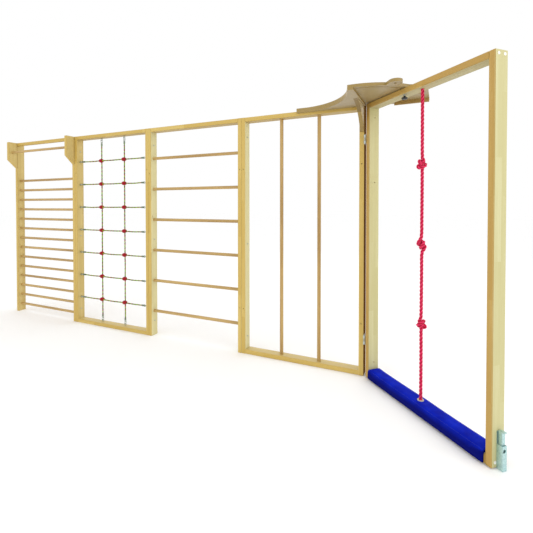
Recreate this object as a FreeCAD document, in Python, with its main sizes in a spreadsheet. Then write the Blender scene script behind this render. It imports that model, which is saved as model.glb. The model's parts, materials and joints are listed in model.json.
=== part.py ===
"""Indoor climbing wall: wall bars, rope net, ladder, climbing poles and a swinging rope frame.

X runs along the wall, Y into the wall and Z up, in millimetres, with the floor at Z = 0.
The five frames stand on the floor line; the fronts of the four fixed ones lie at Y = 0.
"""
import math
import os

import FreeCAD
import Part
import Sketcher

os.makedirs("parts", exist_ok=True)
doc = FreeCAD.newDocument("ClimbingWall")
sheet = doc.addObject("Spreadsheet::Sheet", "Sheet")


# ---------------------------------------------------------------- driving sizes
class Size:
    """A length or an angle that carries its sheet expression and its present value."""

    def __init__(self, text, value):
        self.text, self.value = text, value

    def join(self, sign, other, result, swap=False):
        other_text = other.text if isinstance(other, Size) else repr(other)
        pair = (other_text, self.text) if swap else (self.text, other_text)
        return Size("(%s %s %s)" % (pair[0], sign, pair[1]), result)

    def __add__(self, other):
        return self.join("+", other, self.value + number(other))

    def __radd__(self, other):
        return self.join("+", other, number(other) + self.value, True)

    def __sub__(self, other):
        return self.join("-", other, self.value - number(other))

    def __rsub__(self, other):
        return self.join("-", other, number(other) - self.value, True)

    def __mul__(self, other):
        return self.join("*", other, self.value * number(other))

    __rmul__ = __mul__

    def __truediv__(self, other):
        return self.join("/", other, self.value / number(other))

    def __neg__(self):
        return 0 - self


def number(size):
    return size.value if isinstance(size, Size) else float(size)


def cosine(angle):
    return Size("cos(%s)" % angle.text, math.cos(math.radians(angle.value)))


def sine(angle):
    return Size("sin(%s)" % angle.text, math.sin(math.radians(angle.value)))


def root(size):
    return Size("sqrt(%s)" % size.text, math.sqrt(size.value))


def driving(name, value):
    """Writes one driving size into the next row of the sheet."""
    driving.row += 1
    sheet.set("A%d" % driving.row, name)
    sheet.set("B%d" % driving.row, str(value))
    sheet.setAlias("B%d" % driving.row, name)
    return Size("Sheet." + name, float(value))


driving.row = 0

FRAME_HEIGHT = driving("frame_height", 2500)
FRAME_WIDTH = driving("frame_width", 1283)
POST_WIDTH = driving("post_width", 44)
POST_DEPTH = driving("post_depth", 104)
BEAM_HEIGHT = driving("beam_height", 44)
SOCKET_DEPTH = driving("socket_depth", 30)
FIT_GAP = driving("fit_gap", 0.15)

RUNG_RADIUS = driving("rung_radius", 17)
RUNG_COUNT = 14
RUNG_FIRST = driving("rung_first", 106)
RUNG_PITCH = driving("rung_pitch", 141.2)
RAIL_HEIGHT = driving("rail_height", 46)
RAIL_THICKNESS = driving("rail_thickness", 30)
BRACKET_REACH = driving("bracket_reach", 117)
BRACKET_DROP = driving("bracket_drop", 260)
BRACKET_SLOPE = driving("bracket_slope", 112)
BAR_RADIUS = driving("bar_radius", 17)
BAR_REACH = driving("bar_reach", 64)
BAR_DROP = driving("bar_drop", 146)

NET_ROPE_RADIUS = driving("net_rope_radius", 8)
NET_ROW_COUNT = 7
NET_ROW_FIRST = driving("net_row_first", 340)
NET_ROW_PITCH = driving("net_row_pitch", 303.3)
NET_ROPE_STEP = driving("net_rope_step", 8.2)
CLAMP_HALF_LENGTH = driving("clamp_half_length", 36)
CLAMP_HALF_HEIGHT = driving("clamp_half_height", 25)
CLAMP_HALF_DEPTH = driving("clamp_half_depth", 28)
EYE_MAJOR = driving("eye_major", 12)
LINK_MAJOR = driving("link_major", 15)
END_EYE_MAJOR = driving("end_eye_major", 11)
WIRE_RADIUS = driving("wire_radius", 3)
EYE_STAND_OFF = driving("eye_stand_off", 18)
FERRULE_RADIUS = driving("ferrule_radius", 10.5)
FERRULE_LENGTH = driving("ferrule_length", 30)
FERRULE_FLOOR = driving("ferrule_floor", 8)
RING_SLACK = driving("ring_slack", 0.3)

LADDER_RADIUS = driving("ladder_radius", 17.5)
LADDER_COUNT = 6
LADDER_FIRST = driving("ladder_first", 296)
LADDER_PITCH = driving("ladder_pitch", 369.2)

POLE_RADIUS = driving("pole_radius", 18)
POLE_SOCKET = driving("pole_socket", 22)

JOINING_BOLT_RADIUS = driving("joining_bolt_radius", 4)
JOINING_BOLT_LOW = driving("joining_bolt_low", 176)
JOINING_BOLT_MIDDLE = driving("joining_bolt_middle", 1165)
JOINING_BOLT_HIGH = driving("joining_bolt_high", 2300)
WALL_HOLE_RADIUS = driving("wall_hole_radius", 5.5)
DOWEL_RADIUS = driving("dowel_radius", 6)
DOWEL_DEPTH = driving("dowel_depth", 28)

DECK_LOWER = driving("deck_lower", 18)
DECK_UPPER = driving("deck_upper", 24)
DECK_RADIUS = driving("deck_radius", 525)
DECK_TIP = driving("deck_tip", 652)
DECK_LIP = driving("deck_lip", 22)
DECK_STRAIGHT = driving("deck_straight", 120)
DECK_SWEEP_RADIUS = driving("deck_sweep_radius", 560)
DECK_SWEEP_X = driving("deck_sweep_x", 60)
DECK_SWEEP_Y = driving("deck_sweep_y", 430)
DECK_CORNER_X = driving("deck_corner_x", 34)
DECK_WING = driving("deck_wing", 544)
WING_ANGLE = driving("wing_angle", 40)
WING_STEP = driving("wing_step", 26)
WING_CORNER = driving("wing_corner", 60)
LUG_ANGLE = driving("lug_angle", 57)
LUG_REACH = driving("lug_reach", 582)
LUG_RADIUS = driving("lug_radius", 50)
LUG_HOLE_RADIUS = driving("lug_hole_radius", 13)
GROOVE_WIDTH = driving("groove_width", 14)
GROOVE_DEPTH = driving("groove_depth", 3)
GROOVE_SPAN = driving("groove_span", 74)
GROOVE_FIRST = driving("groove_first", 88)
GUSSET_THICKNESS = driving("gusset_thickness", 36)
GUSSET_REACH = driving("gusset_reach", 288)
GUSSET_DROP = driving("gusset_drop", 230)
GUSSET_LEG = driving("gusset_leg", 12)
GUSSET_LEG_HEIGHT = driving("gusset_leg_height", 48)
GUSSET_CURVE = driving("gusset_curve", 370)
BATTEN_SETBACK = driving("batten_setback", 19)
BATTEN_THICKNESS = driving("batten_thickness", 20)
BATTEN_HEIGHT = driving("batten_height", 32)
BATTEN_START = driving("batten_start", 258)

HINGE_GAP = driving("hinge_gap", 20)
HINGE_OUT = driving("hinge_out", 7)
BARREL_RADIUS = driving("barrel_radius", 7.5)
HINGE_PIN_RADIUS = driving("hinge_pin_radius", 3.5)
PIN_CLEARANCE = driving("pin_clearance", 0.05)
HINGE_HEIGHT = driving("hinge_height", 82)
KNUCKLE_SPACE = driving("knuckle_space", 0.4)
KNUCKLE_RELIEF = driving("knuckle_relief", 0.4)
LEAF_THICKNESS = driving("leaf_thickness", 2.6)
LEAF_WIDTH = driving("leaf_width", 52)
HINGE_LOW = driving("hinge_low", 340)
HINGE_HIGH = driving("hinge_high", 2178)
SCREW_RADIUS = driving("screw_radius", 2.2)
SCREW_HEAD = driving("screw_head", 4.5)
SCREW_LENGTH = driving("screw_length", 24)

DOOR_ANGLE = driving("door_angle", 45)
DOOR_GAP = driving("door_gap", 6)
DOOR_HEAD_GAP = driving("door_head_gap", 4)
SILL_HEIGHT = driving("sill_height", 60)
PAD_SIDE = driving("pad_side", 18)
PAD_TOP = driving("pad_top", 26)
PAD_BOTTOM = driving("pad_bottom", 8)
PAD_END_INNER = driving("pad_end_inner", 2)
PAD_END_OUTER = driving("pad_end_outer", 6)
ROPE_RADIUS = driving("rope_radius", 13)
KNOT_RADIUS = driving("knot_radius", 40)
KNOT_HEIGHT = driving("knot_height", 64)
KNOT_COUNT = 3
KNOT_FIRST = driving("knot_first", 672)
KNOT_PITCH = driving("knot_pitch", 606.5)
GROMMET_RADIUS = driving("grommet_radius", 24)
GROMMET_HEIGHT = driving("grommet_height", 5)
ROPE_CLEARANCE = driving("rope_clearance", 1.5)
SPARE_HOLE_RADIUS = driving("spare_hole_radius", 5)
SPARE_HOLE_DEEP = driving("spare_hole_deep", 60)
SPARE_HOLE_LOW = driving("spare_hole_low", 147)
SPARE_HOLE_MIDDLE = driving("spare_hole_middle", 1782)
SPARE_HOLE_HIGH = driving("spare_hole_high", 2366)
CAP_RADIUS = driving("cap_radius", 10)
CAP_HEIGHT = driving("cap_height", 2.5)
CAP_STEM = driving("cap_stem", 10)
SILL_BOLT_DEEP = driving("sill_bolt_deep", 28)
HEAD_BOLT_EDGE = driving("head_bolt_edge", 27)

LOCK_ALONG = driving("lock_along", 478)
LOCK_DEEP = driving("lock_deep", 22)
LOCK_RADIUS = driving("lock_radius", 6)
LOCK_CLEARANCE = driving("lock_clearance", 0.06)
LOCK_HOLE_RADIUS = driving("lock_hole_radius", 6.6)
LOCK_STEP = driving("lock_step", 22.5)
KNOB_RADIUS = driving("knob_radius", 24)
KNOB_HEIGHT = driving("knob_height", 26)
KNOB_NECK = driving("knob_neck", 7)
KNOB_DROP = driving("knob_drop", 12)

LATCH_GAP = driving("latch_gap", 2)
LATCH_WIDTH = driving("latch_width", 34)
LATCH_REACH = driving("latch_reach", 40)
LATCH_HEIGHT = driving("latch_height", 150)
LATCH_PLATE = driving("latch_plate", 3)
LATCH_BACK_HEIGHT = driving("latch_back_height", 225)
LATCH_FLANGE = driving("latch_flange", 16)
LATCH_HOLE_RADIUS = driving("latch_hole_radius", 11)
LATCH_WINDOW = driving("latch_window", 120)
LATCH_FLANGE_FOOT = driving("latch_flange_foot", 8)
LATCH_SCREW_LOW = driving("latch_screw_low", 28)
LATCH_SCREW_MIDDLE = driving("latch_screw_middle", 130)
LATCH_SCREW_HIGH = driving("latch_screw_high", 190)
BOLT_SIDE = driving("bolt_side", 24)
BOLT_LIFT = driving("bolt_lift", 2)
BOLT_LENGTH = driving("bolt_length", 226)
TAB_LENGTH = driving("tab_length", 36)
TAB_THICKNESS = driving("tab_thickness", 4)

doc.recompute()

# Places that follow from the driving sizes.
MID_DEPTH = POST_DEPTH / 2
WALL_END = FRAME_WIDTH * 4
AXIS_X = WALL_END + HINGE_GAP / 2
AXIS_Y = -HINGE_OUT
DECK_FLOOR = FRAME_HEIGHT - DECK_LOWER
AROUND_Z = FreeCAD.Vector(0, 0, 1)

finished = []


# ---------------------------------------------------------------- makers of plain pieces
def bind(item, name, size):
    if isinstance(size, Size):
        item.setExpression(name, size.text)
    else:
        item.setExpression(name, repr(float(size)))


def seat(item, spot, turn=None):
    """Puts an object at a bound place, turned as the rotation says."""
    item.Placement = FreeCAD.Placement(FreeCAD.Vector(*[number(v) for v in spot]), turn or FreeCAD.Rotation())
    for letter, size in zip("xyz", spot):
        bind(item, "Placement.Base." + letter, size)
    return item


def box(name, spot, sides):
    item = doc.addObject("Part::Box", name)
    for side, size in zip(("Length", "Width", "Height"), sides):
        bind(item, side, size)
    return seat(item, spot)


TURN_TO = {
    "x": FreeCAD.Rotation(FreeCAD.Vector(0, 1, 0), 90),
    "y": FreeCAD.Rotation(FreeCAD.Vector(1, 0, 0), -90),
    "z": FreeCAD.Rotation(),
}


def rod(name, spot, radius, length, along="z"):
    item = doc.addObject("Part::Cylinder", name)
    bind(item, "Radius", radius)
    bind(item, "Height", length)
    return seat(item, spot, TURN_TO[along])


def ring(name, spot, major, minor, axis):
    item = doc.addObject("Part::Torus", name)
    bind(item, "Radius1", major)
    bind(item, "Radius2", minor)
    return seat(item, spot, TURN_TO[axis])


def prism(name, spot, across_flats, height, along):
    """A hexagon head or nut."""
    item = doc.addObject("Part::Prism", name)
    item.Polygon = 6
    bind(item, "Circumradius", across_flats / math.sqrt(3))
    bind(item, "Height", height)
    return seat(item, spot, TURN_TO[along])


def group(name, members):
    item = doc.addObject("Part::Compound", name)
    item.Links = members
    return item


def joined(name, members):
    item = doc.addObject("Part::MultiFuse", name)
    item.Shapes = members
    return item


def cut(name, base, tools):
    item = doc.addObject("Part::Cut", name)
    item.Base = base
    item.Tool = tools[0] if len(tools) == 1 else joined(name + "_tools", tools)
    return item


def profile(body, name, role, outline):
    """A closed sketch whose corners, and the radii of its arcs, are bound to the sheet.

    Each entry is a corner (across, up), or (across, up, radius, bulge) where an arc
    runs from it to the next corner, bulging to the left of its chord for bulge +1.
    """
    sketch = body.newObject("Sketcher::SketchObject", name)
    plane = next(item for item in body.Origin.OriginFeatures if item.Role == role)
    sketch.AttachmentSupport = (plane, [""])
    sketch.MapMode = "FlatFace"
    spots = [FreeCAD.Vector(number(corner[0]), number(corner[1]), 0) for corner in outline]
    edges = []
    for index, corner in enumerate(outline):
        start, end = spots[index], spots[(index + 1) % len(spots)]
        if len(corner) == 2:
            sketch.addGeometry(Part.LineSegment(start, end))
            edges.append((1, 2))
            continue
        radius, bulge = number(corner[2]), corner[3]
        chord = end - start
        left = FreeCAD.Vector(-chord.y, chord.x, 0).normalize()
        rise = radius - math.sqrt(radius ** 2 - (chord.Length / 2) ** 2)
        middle = (start + end) * 0.5 + left * (rise * bulge)
        # A sketch arc always runs anticlockwise, so one that bulges left is drawn from its far end.
        sketch.addGeometry(Part.Arc(end, middle, start) if bulge > 0 else Part.Arc(start, middle, end))
        edges.append((2, 1) if bulge > 0 else (1, 2))
    count = len(outline)
    for index, corner in enumerate(outline):
        after = (index + 1) % count
        sketch.addConstraint(Sketcher.Constraint("Coincident", index, edges[index][1], after, edges[after][0]))
        for kind, size in (("DistanceX", corner[0]), ("DistanceY", corner[1])):
            place = sketch.addConstraint(Sketcher.Constraint(kind, -1, 1, index, edges[index][0], number(size)))
            label = "%s_%d" % (kind, index)
            sketch.renameConstraint(place, label)
            bind(sketch, "Constraints." + label, size)
        if len(corner) == 4:
            place = sketch.addConstraint(Sketcher.Constraint("Radius", index, number(corner[2])))
            sketch.renameConstraint(place, "Radius_%d" % index)
            bind(sketch, "Constraints.Radius_%d" % index, corner[2])
    return sketch


def board(name, role, outline, thickness, spot):
    """A flat board: a body with its outline padded by its thickness."""
    body = doc.addObject("PartDesign::Body", name)
    pad = body.newObject("PartDesign::Pad", name + "_pad")
    pad.Profile = profile(body, name + "_outline", role, outline)
    bind(pad, "Length", thickness)
    return seat(body, spot)


def finish(item, name, on_door=False):
    """Names a finished sub-part and, for one that swings, sets it on the hinge axis."""
    item.Label = name
    if on_door:
        seat(item, (AXIS_X, AXIS_Y, 0), FreeCAD.Rotation(AROUND_Z, -DOOR_ANGLE.value))
        bind(item, "Placement.Rotation.Angle", -DOOR_ANGLE)
    finished.append(item)


# ---------------------------------------------------------------- places shared by the frames
LEFT_POST = [FRAME_WIDTH * k for k in range(4)]
RIGHT_POST = [FRAME_WIDTH * (k + 1) - POST_WIDTH for k in range(4)]
INNER_LEFT = [FRAME_WIDTH * k + POST_WIDTH for k in range(4)]
CLEAR_WIDTH = FRAME_WIDTH - POST_WIDTH * 2
BARS, NET, LADDER, POLES = range(4)

rung_heights = [RUNG_FIRST + RUNG_PITCH * k for k in range(RUNG_COUNT)]
ladder_heights = [LADDER_FIRST + LADDER_PITCH * k for k in range(LADDER_COUNT)]
net_heights = [NET_ROW_FIRST + NET_ROW_PITCH * k for k in range(NET_ROW_COUNT)]
joining_heights = [JOINING_BOLT_LOW, JOINING_BOLT_MIDDLE, JOINING_BOLT_HIGH]
# The wall-fixing holes lie half way between two rungs or two rope rows.
wall_hole_heights = {
    BARS: [RUNG_FIRST + RUNG_PITCH * 1.5, RUNG_FIRST + RUNG_PITCH * 11.5],
    NET: [NET_ROW_FIRST + NET_ROW_PITCH * 0.5, NET_ROW_FIRST + NET_ROW_PITCH * 5.5],
    LADDER: [LADDER_FIRST + LADDER_PITCH * 0.5, LADDER_FIRST + LADDER_PITCH * 4.5],
    POLES: [LADDER_FIRST + LADDER_PITCH * 0.5, LADDER_FIRST + LADDER_PITCH * 4.5],
}

post_cuts = {(frame, side): [] for frame in range(4) for side in ("left", "right")}
beam_cuts = {}


def post_start(frame, side):
    return LEFT_POST[frame] if side == "left" else RIGHT_POST[frame]


def inner_socket(frame, side, radius, depth, level, deep, name):
    """A blind round socket in the inner face of a post."""
    start = INNER_LEFT[frame] - depth if side == "left" else RIGHT_POST[frame]
    post_cuts[frame, side].append(rod(name, (start, deep, level), radius, depth, "x"))


for frame in range(4):
    for side in ("left", "right"):
        for level in wall_hole_heights[frame]:
            spot = (post_start(frame, side) + POST_WIDTH / 2, 0, level)
            post_cuts[frame, side].append(rod("wall_hole", spot, WALL_HOLE_RADIUS, POST_DEPTH, "y"))
        for level in joining_heights:
            if (frame, side) not in ((BARS, "left"), (POLES, "right")):
                spot = (post_start(frame, side), MID_DEPTH, level)
                post_cuts[frame, side].append(
                    rod("joining_hole", spot, JOINING_BOLT_RADIUS + FIT_GAP, POST_WIDTH, "x"))

# ---------------------------------------------------------------- frame beams and their dowels
dowels = []


def frame_beam(name, frame, level, height, depth):
    """A beam between the posts of a frame, held by two dowels at each end."""
    beam_cuts[name] = []
    for end, side in ((INNER_LEFT[frame], "left"), (RIGHT_POST[frame], "right")):
        for share in (0.25, 0.75):
            spot = (end - DOWEL_DEPTH, depth * share, level + height / 2)
            dowels.append(rod("dowel", spot, DOWEL_RADIUS, DOWEL_DEPTH * 2, "x"))
            beam_cuts[name].append(rod("dowel_bore", spot, DOWEL_RADIUS, DOWEL_DEPTH * 2, "x"))
            post_cuts[frame, side].append(rod("dowel_bore", spot, DOWEL_RADIUS, DOWEL_DEPTH * 2, "x"))
    return box(name + "_blank", (INNER_LEFT[frame], 0, level), (CLEAR_WIDTH, depth, height))


beams = {
    "wall_bar_top_rail": frame_beam(
        "wall_bar_top_rail", BARS, FRAME_HEIGHT - RAIL_HEIGHT, RAIL_HEIGHT, RAIL_THICKNESS),
    "net_top_beam": frame_beam("net_top_beam", NET, FRAME_HEIGHT - BEAM_HEIGHT, BEAM_HEIGHT, POST_DEPTH),
    "net_bottom_beam": frame_beam("net_bottom_beam", NET, 0 * BEAM_HEIGHT, BEAM_HEIGHT, POST_DEPTH),
    "ladder_top_beam": frame_beam(
        "ladder_top_beam", LADDER, FRAME_HEIGHT - BEAM_HEIGHT, BEAM_HEIGHT, POST_DEPTH),
    "pole_top_beam": frame_beam("pole_top_beam", POLES, FRAME_HEIGHT - BEAM_HEIGHT, BEAM_HEIGHT, POST_DEPTH),
    "pole_bottom_beam": frame_beam("pole_bottom_beam", POLES, 0 * BEAM_HEIGHT, BEAM_HEIGHT, POST_DEPTH),
}
finish(group("frame_dowels", dowels), "frame_dowels")

# ---------------------------------------------------------------- wall bars
rungs = []
for level in rung_heights:
    spot = (INNER_LEFT[BARS] - SOCKET_DEPTH, MID_DEPTH, level)
    rungs.append(rod("wall_bar_rung", spot, RUNG_RADIUS, CLEAR_WIDTH + SOCKET_DEPTH * 2, "x"))
    for side in ("left", "right"):
        inner_socket(BARS, side, RUNG_RADIUS + FIT_GAP, SOCKET_DEPTH, level, MID_DEPTH, "rung_socket")
finish(group("wall_bar_rungs", rungs), "wall_bar_rungs")

BAR_LEVEL = FRAME_HEIGHT - BAR_DROP
bracket_outline = [
    (0, FRAME_HEIGHT),
    (-BRACKET_REACH, FRAME_HEIGHT),
    (-BRACKET_REACH, FRAME_HEIGHT - BRACKET_DROP),
    (0, FRAME_HEIGHT - BRACKET_DROP - BRACKET_SLOPE),
]
for side in ("left", "right"):
    name = "wall_bar_bracket_" + side
    start = post_start(BARS, side)
    blank = board(name + "_board", "YZ_Plane", bracket_outline, POST_WIDTH, (start, 0, 0))
    inner = INNER_LEFT[BARS] - SOCKET_DEPTH if side == "left" else start
    bore = rod(name + "_bore", (inner, -BAR_REACH, BAR_LEVEL), BAR_RADIUS + FIT_GAP, SOCKET_DEPTH, "x")
    finish(cut(name, blank, [bore]), name)
finish(rod("pull_up_bar", (INNER_LEFT[BARS] - SOCKET_DEPTH, -BAR_REACH, BAR_LEVEL),
           BAR_RADIUS, CLEAR_WIDTH + SOCKET_DEPTH * 2, "x"), "pull_up_bar")

# ---------------------------------------------------------------- rope net
# Each rope end holds a ferrule with an eye, a closed link and an eye bolt in the frame.
LINK_STEP = EYE_MAJOR + LINK_MAJOR - WIRE_RADIUS * 2 - RING_SLACK
END_STEP = LINK_MAJOR + END_EYE_MAJOR - WIRE_RADIUS * 2 - RING_SLACK
EYE_AT = EYE_STAND_OFF
LINK_AT = EYE_AT + LINK_STEP
END_EYE_AT = LINK_AT + END_STEP
FERRULE_AT = END_EYE_AT + END_EYE_MAJOR
ROPE_AT = FERRULE_AT + FERRULE_FLOOR
ROW_DEEP = MID_DEPTH - NET_ROPE_STEP
COLUMN_DEEP = MID_DEPTH + NET_ROPE_STEP
BEAM_BOTTOM = FRAME_HEIGHT - BEAM_HEIGHT
columns = [INNER_LEFT[NET] + CLEAR_WIDTH / 3, INNER_LEFT[NET] + CLEAR_WIDTH * 2 / 3]

eye_bolts = []
links = []
ferrules = []


def rope_end(spot, along, way):
    """The hardware of one rope end: spot is on the frame's face, way is the sign of travel."""
    def at(step):
        place = list(spot)
        index = "xyz".index(along)
        place[index] = spot[index] + step * way
        return tuple(place)

    def bar(name, near, far, radius):
        start = at(near) if way > 0 else at(far)
        return rod(name, start, radius, far - near, along)

    eye = ring("eye", at(EYE_AT), EYE_MAJOR, WIRE_RADIUS, "y")
    shank = bar("shank", -SOCKET_DEPTH, EYE_AT - EYE_MAJOR, WIRE_RADIUS)
    eye_bolts.append(joined("eye_bolt", [eye, shank]))
    links.append(ring("link", at(LINK_AT), LINK_MAJOR, WIRE_RADIUS, "z" if along == "x" else "x"))
    end_eye = ring("end_eye", at(END_EYE_AT), END_EYE_MAJOR, WIRE_RADIUS, "y")
    sleeve = bar("sleeve", FERRULE_AT, FERRULE_AT + FERRULE_LENGTH, FERRULE_RADIUS)
    bore = bar("sleeve_bore", ROPE_AT, FERRULE_AT + FERRULE_LENGTH, NET_ROPE_RADIUS)
    ferrules.append(cut("ferrule", joined("ferrule_blank", [end_eye, sleeve]), [bore]))
    return bar("shank_bore", -SOCKET_DEPTH, 0 * SOCKET_DEPTH, WIRE_RADIUS)


for index, level in enumerate(net_heights):
    post_cuts[NET, "left"].append(rope_end((INNER_LEFT[NET], ROW_DEEP, level), "x", 1))
    post_cuts[NET, "right"].append(rope_end((RIGHT_POST[NET], ROW_DEEP, level), "x", -1))
    row = rod("net_row", (INNER_LEFT[NET] + ROPE_AT, ROW_DEEP, level),
              NET_ROPE_RADIUS, CLEAR_WIDTH - ROPE_AT * 2, "x")
    finish(row, "net_rope_row_%d" % (index + 1))
for index, column in enumerate(columns):
    beam_cuts["net_bottom_beam"].append(rope_end((column, COLUMN_DEEP, BEAM_HEIGHT), "z", 1))
    beam_cuts["net_top_beam"].append(rope_end((column, COLUMN_DEEP, BEAM_BOTTOM), "z", -1))
    rope = rod("net_column", (column, COLUMN_DEEP, BEAM_HEIGHT + ROPE_AT),
               NET_ROPE_RADIUS, FRAME_HEIGHT - BEAM_HEIGHT * 2 - ROPE_AT * 2)
    finish(rope, "net_rope_column_%d" % (index + 1))
finish(group("net_eye_bolts", eye_bolts), "net_eye_bolts")
finish(group("net_links", links), "net_links")
finish(group("net_ferrules", ferrules), "net_ferrules")

clamps = []
for level in net_heights:
    for column in columns:
        blank = doc.addObject("Part::Ellipsoid", "clamp_blank")
        bind(blank, "Radius1", CLAMP_HALF_HEIGHT)
        bind(blank, "Radius2", CLAMP_HALF_LENGTH)
        bind(blank, "Radius3", CLAMP_HALF_DEPTH)
        seat(blank, (column, MID_DEPTH, level))
        row_bore = rod("clamp_row", (column - CLAMP_HALF_LENGTH, ROW_DEEP, level),
                       NET_ROPE_RADIUS + FIT_GAP, CLAMP_HALF_LENGTH * 2, "x")
        column_bore = rod("clamp_column", (column, COLUMN_DEEP, level - CLAMP_HALF_HEIGHT),
                          NET_ROPE_RADIUS + FIT_GAP, CLAMP_HALF_HEIGHT * 2, "z")
        clamps.append(cut("clamp", blank, [row_bore, column_bore]))
finish(group("net_clamps", clamps), "net_clamps")

# ---------------------------------------------------------------- ladder
steps = []
for level in ladder_heights:
    spot = (INNER_LEFT[LADDER] - SOCKET_DEPTH, MID_DEPTH, level)
    steps.append(rod("ladder_rung", spot, LADDER_RADIUS, CLEAR_WIDTH + SOCKET_DEPTH * 2, "x"))
    for side in ("left", "right"):
        inner_socket(LADDER, side, LADDER_RADIUS + FIT_GAP, SOCKET_DEPTH, level, MID_DEPTH, "ladder_socket")
finish(group("ladder_rungs", steps), "ladder_rungs")

# ---------------------------------------------------------------- climbing poles
poles = []
for share in (1, 2):
    across = INNER_LEFT[POLES] + CLEAR_WIDTH * share / 3
    foot = BEAM_HEIGHT - POLE_SOCKET
    poles.append(rod("climbing_pole", (across, MID_DEPTH, foot), POLE_RADIUS,
                     BEAM_BOTTOM - BEAM_HEIGHT + POLE_SOCKET * 2))
    beam_cuts["pole_bottom_beam"].append(
        rod("pole_socket", (across, MID_DEPTH, foot), POLE_RADIUS + FIT_GAP, POLE_SOCKET))
    beam_cuts["pole_top_beam"].append(
        rod("pole_socket", (across, MID_DEPTH, BEAM_BOTTOM), POLE_RADIUS + FIT_GAP, POLE_SOCKET))
finish(group("climbing_poles", poles), "climbing_poles")

# ---------------------------------------------------------------- bolts between the frames
bolts = []
nuts = []
HEAD_FLATS = JOINING_BOLT_RADIUS * 3.25
HEAD_HEIGHT = JOINING_BOLT_RADIUS * 1.3
for seam in (1, 2, 3):
    for level in joining_heights:
        left_face = FRAME_WIDTH * seam - POST_WIDTH
        right_face = FRAME_WIDTH * seam + POST_WIDTH
        head = prism("bolt_head", (left_face - HEAD_HEIGHT, MID_DEPTH, level), HEAD_FLATS, HEAD_HEIGHT, "x")
        stem = rod("bolt_stem", (left_face - HEAD_HEIGHT, MID_DEPTH, level), JOINING_BOLT_RADIUS,
                   POST_WIDTH * 2 + HEAD_HEIGHT * 2.4, "x")
        bolts.append(joined("bolt", [head, stem]))
        blank = prism("nut_blank", (right_face, MID_DEPTH, level), HEAD_FLATS, HEAD_HEIGHT, "x")
        thread = rod("nut_thread", (right_face, MID_DEPTH, level), JOINING_BOLT_RADIUS, HEAD_HEIGHT, "x")
        nuts.append(cut("nut", blank, [thread]))
finish(group("joining_bolts", bolts), "joining_bolts")
finish(group("joining_nuts", nuts), "joining_nuts")

# ---------------------------------------------------------------- deck over the swinging frame
deck_left = WALL_END - DECK_TIP
lower_edge = AXIS_X + HINGE_OUT - 3
corner_x = WALL_END - DECK_CORNER_X
corner_rise = root(DECK_RADIUS * DECK_RADIUS - (AXIS_X - corner_x) * (AXIS_X - corner_x))
edge_rise = root(DECK_RADIUS * DECK_RADIUS - (lower_edge - AXIS_X) * (lower_edge - AXIS_X))
sweep_start = (deck_left + DECK_STRAIGHT, -DECK_LIP)
sweep_end = (WALL_END - DECK_SWEEP_X, -DECK_SWEEP_Y)

lower_outline = [
    (deck_left, 0),
    (deck_left, -DECK_LIP),
    (sweep_start[0], sweep_start[1], DECK_SWEEP_RADIUS, 1),
    sweep_end,
    (corner_x, AXIS_Y - corner_rise, DECK_RADIUS, -1),
    (lower_edge, AXIS_Y - edge_rise),
    (lower_edge, 0),
]
finish(board("deck_lower_board", "XY_Plane", lower_outline, DECK_LOWER, (0, 0, DECK_FLOOR)), "deck_lower_board")

wing_front = (AXIS_X + DECK_RADIUS * cosine(WING_ANGLE), AXIS_Y - DECK_RADIUS * sine(WING_ANGLE))
wing_edge = wing_front[1] + WING_STEP
upper_outline = [
    (deck_left, POST_DEPTH),
    (deck_left, -DECK_LIP),
    (sweep_start[0], sweep_start[1], DECK_SWEEP_RADIUS, 1),
    sweep_end,
    (corner_x, AXIS_Y - corner_rise, DECK_RADIUS, -1),
    wing_front,
    (WALL_END + DECK_WING - WING_CORNER, wing_edge, WING_CORNER, -1),
    (WALL_END + DECK_WING, wing_edge + WING_CORNER),
    (WALL_END + DECK_WING, POST_DEPTH),
]
upper_blank = board("deck_upper_blank", "XY_Plane", upper_outline, DECK_UPPER, (0, 0, FRAME_HEIGHT))
lug_spot = (AXIS_X + LUG_REACH * cosine(LUG_ANGLE), AXIS_Y - LUG_REACH * sine(LUG_ANGLE), FRAME_HEIGHT)
lug = rod("deck_lug", lug_spot, LUG_RADIUS, DECK_UPPER)
lug_neck = box("deck_lug_neck", (0, 0, 0), (LUG_REACH - DECK_RADIUS / 2, LUG_RADIUS * 2, DECK_UPPER))
neck_root = DECK_RADIUS / 2
seat(lug_neck,
     (AXIS_X + neck_root * cosine(LUG_ANGLE) - LUG_RADIUS * sine(LUG_ANGLE),
      AXIS_Y - neck_root * sine(LUG_ANGLE) - LUG_RADIUS * cosine(LUG_ANGLE), FRAME_HEIGHT),
     FreeCAD.Rotation(AROUND_Z, -LUG_ANGLE.value))
bind(lug_neck, "Placement.Rotation.Angle", -LUG_ANGLE)

lock_x = HINGE_GAP / 2 + LOCK_ALONG
lock_y = HINGE_OUT + LOCK_DEEP
LOCK_SWEEP = root(lock_x * lock_x + lock_y * lock_y)
deck_cuts = [rod("lug_hole", lug_spot, LUG_HOLE_RADIUS, DECK_UPPER)]
for step in (1, 2, 3, 4):
    turn = LOCK_STEP * step
    spot = (AXIS_X + lock_x * cosine(turn) + lock_y * sine(turn),
            AXIS_Y - lock_x * sine(turn) + lock_y * cosine(turn), FRAME_HEIGHT)
    deck_cuts.append(rod("lock_hole", spot, LOCK_HOLE_RADIUS, DECK_UPPER))


def sector(name, radius):
    item = rod(name, (AXIS_X, AXIS_Y, FRAME_HEIGHT), radius, GROOVE_DEPTH)
    bind(item, "Angle", GROOVE_SPAN)
    seat(item, (AXIS_X, AXIS_Y, FRAME_HEIGHT), FreeCAD.Rotation(AROUND_Z, -GROOVE_FIRST.value))
    bind(item, "Placement.Rotation.Angle", -GROOVE_FIRST)
    return item


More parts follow.
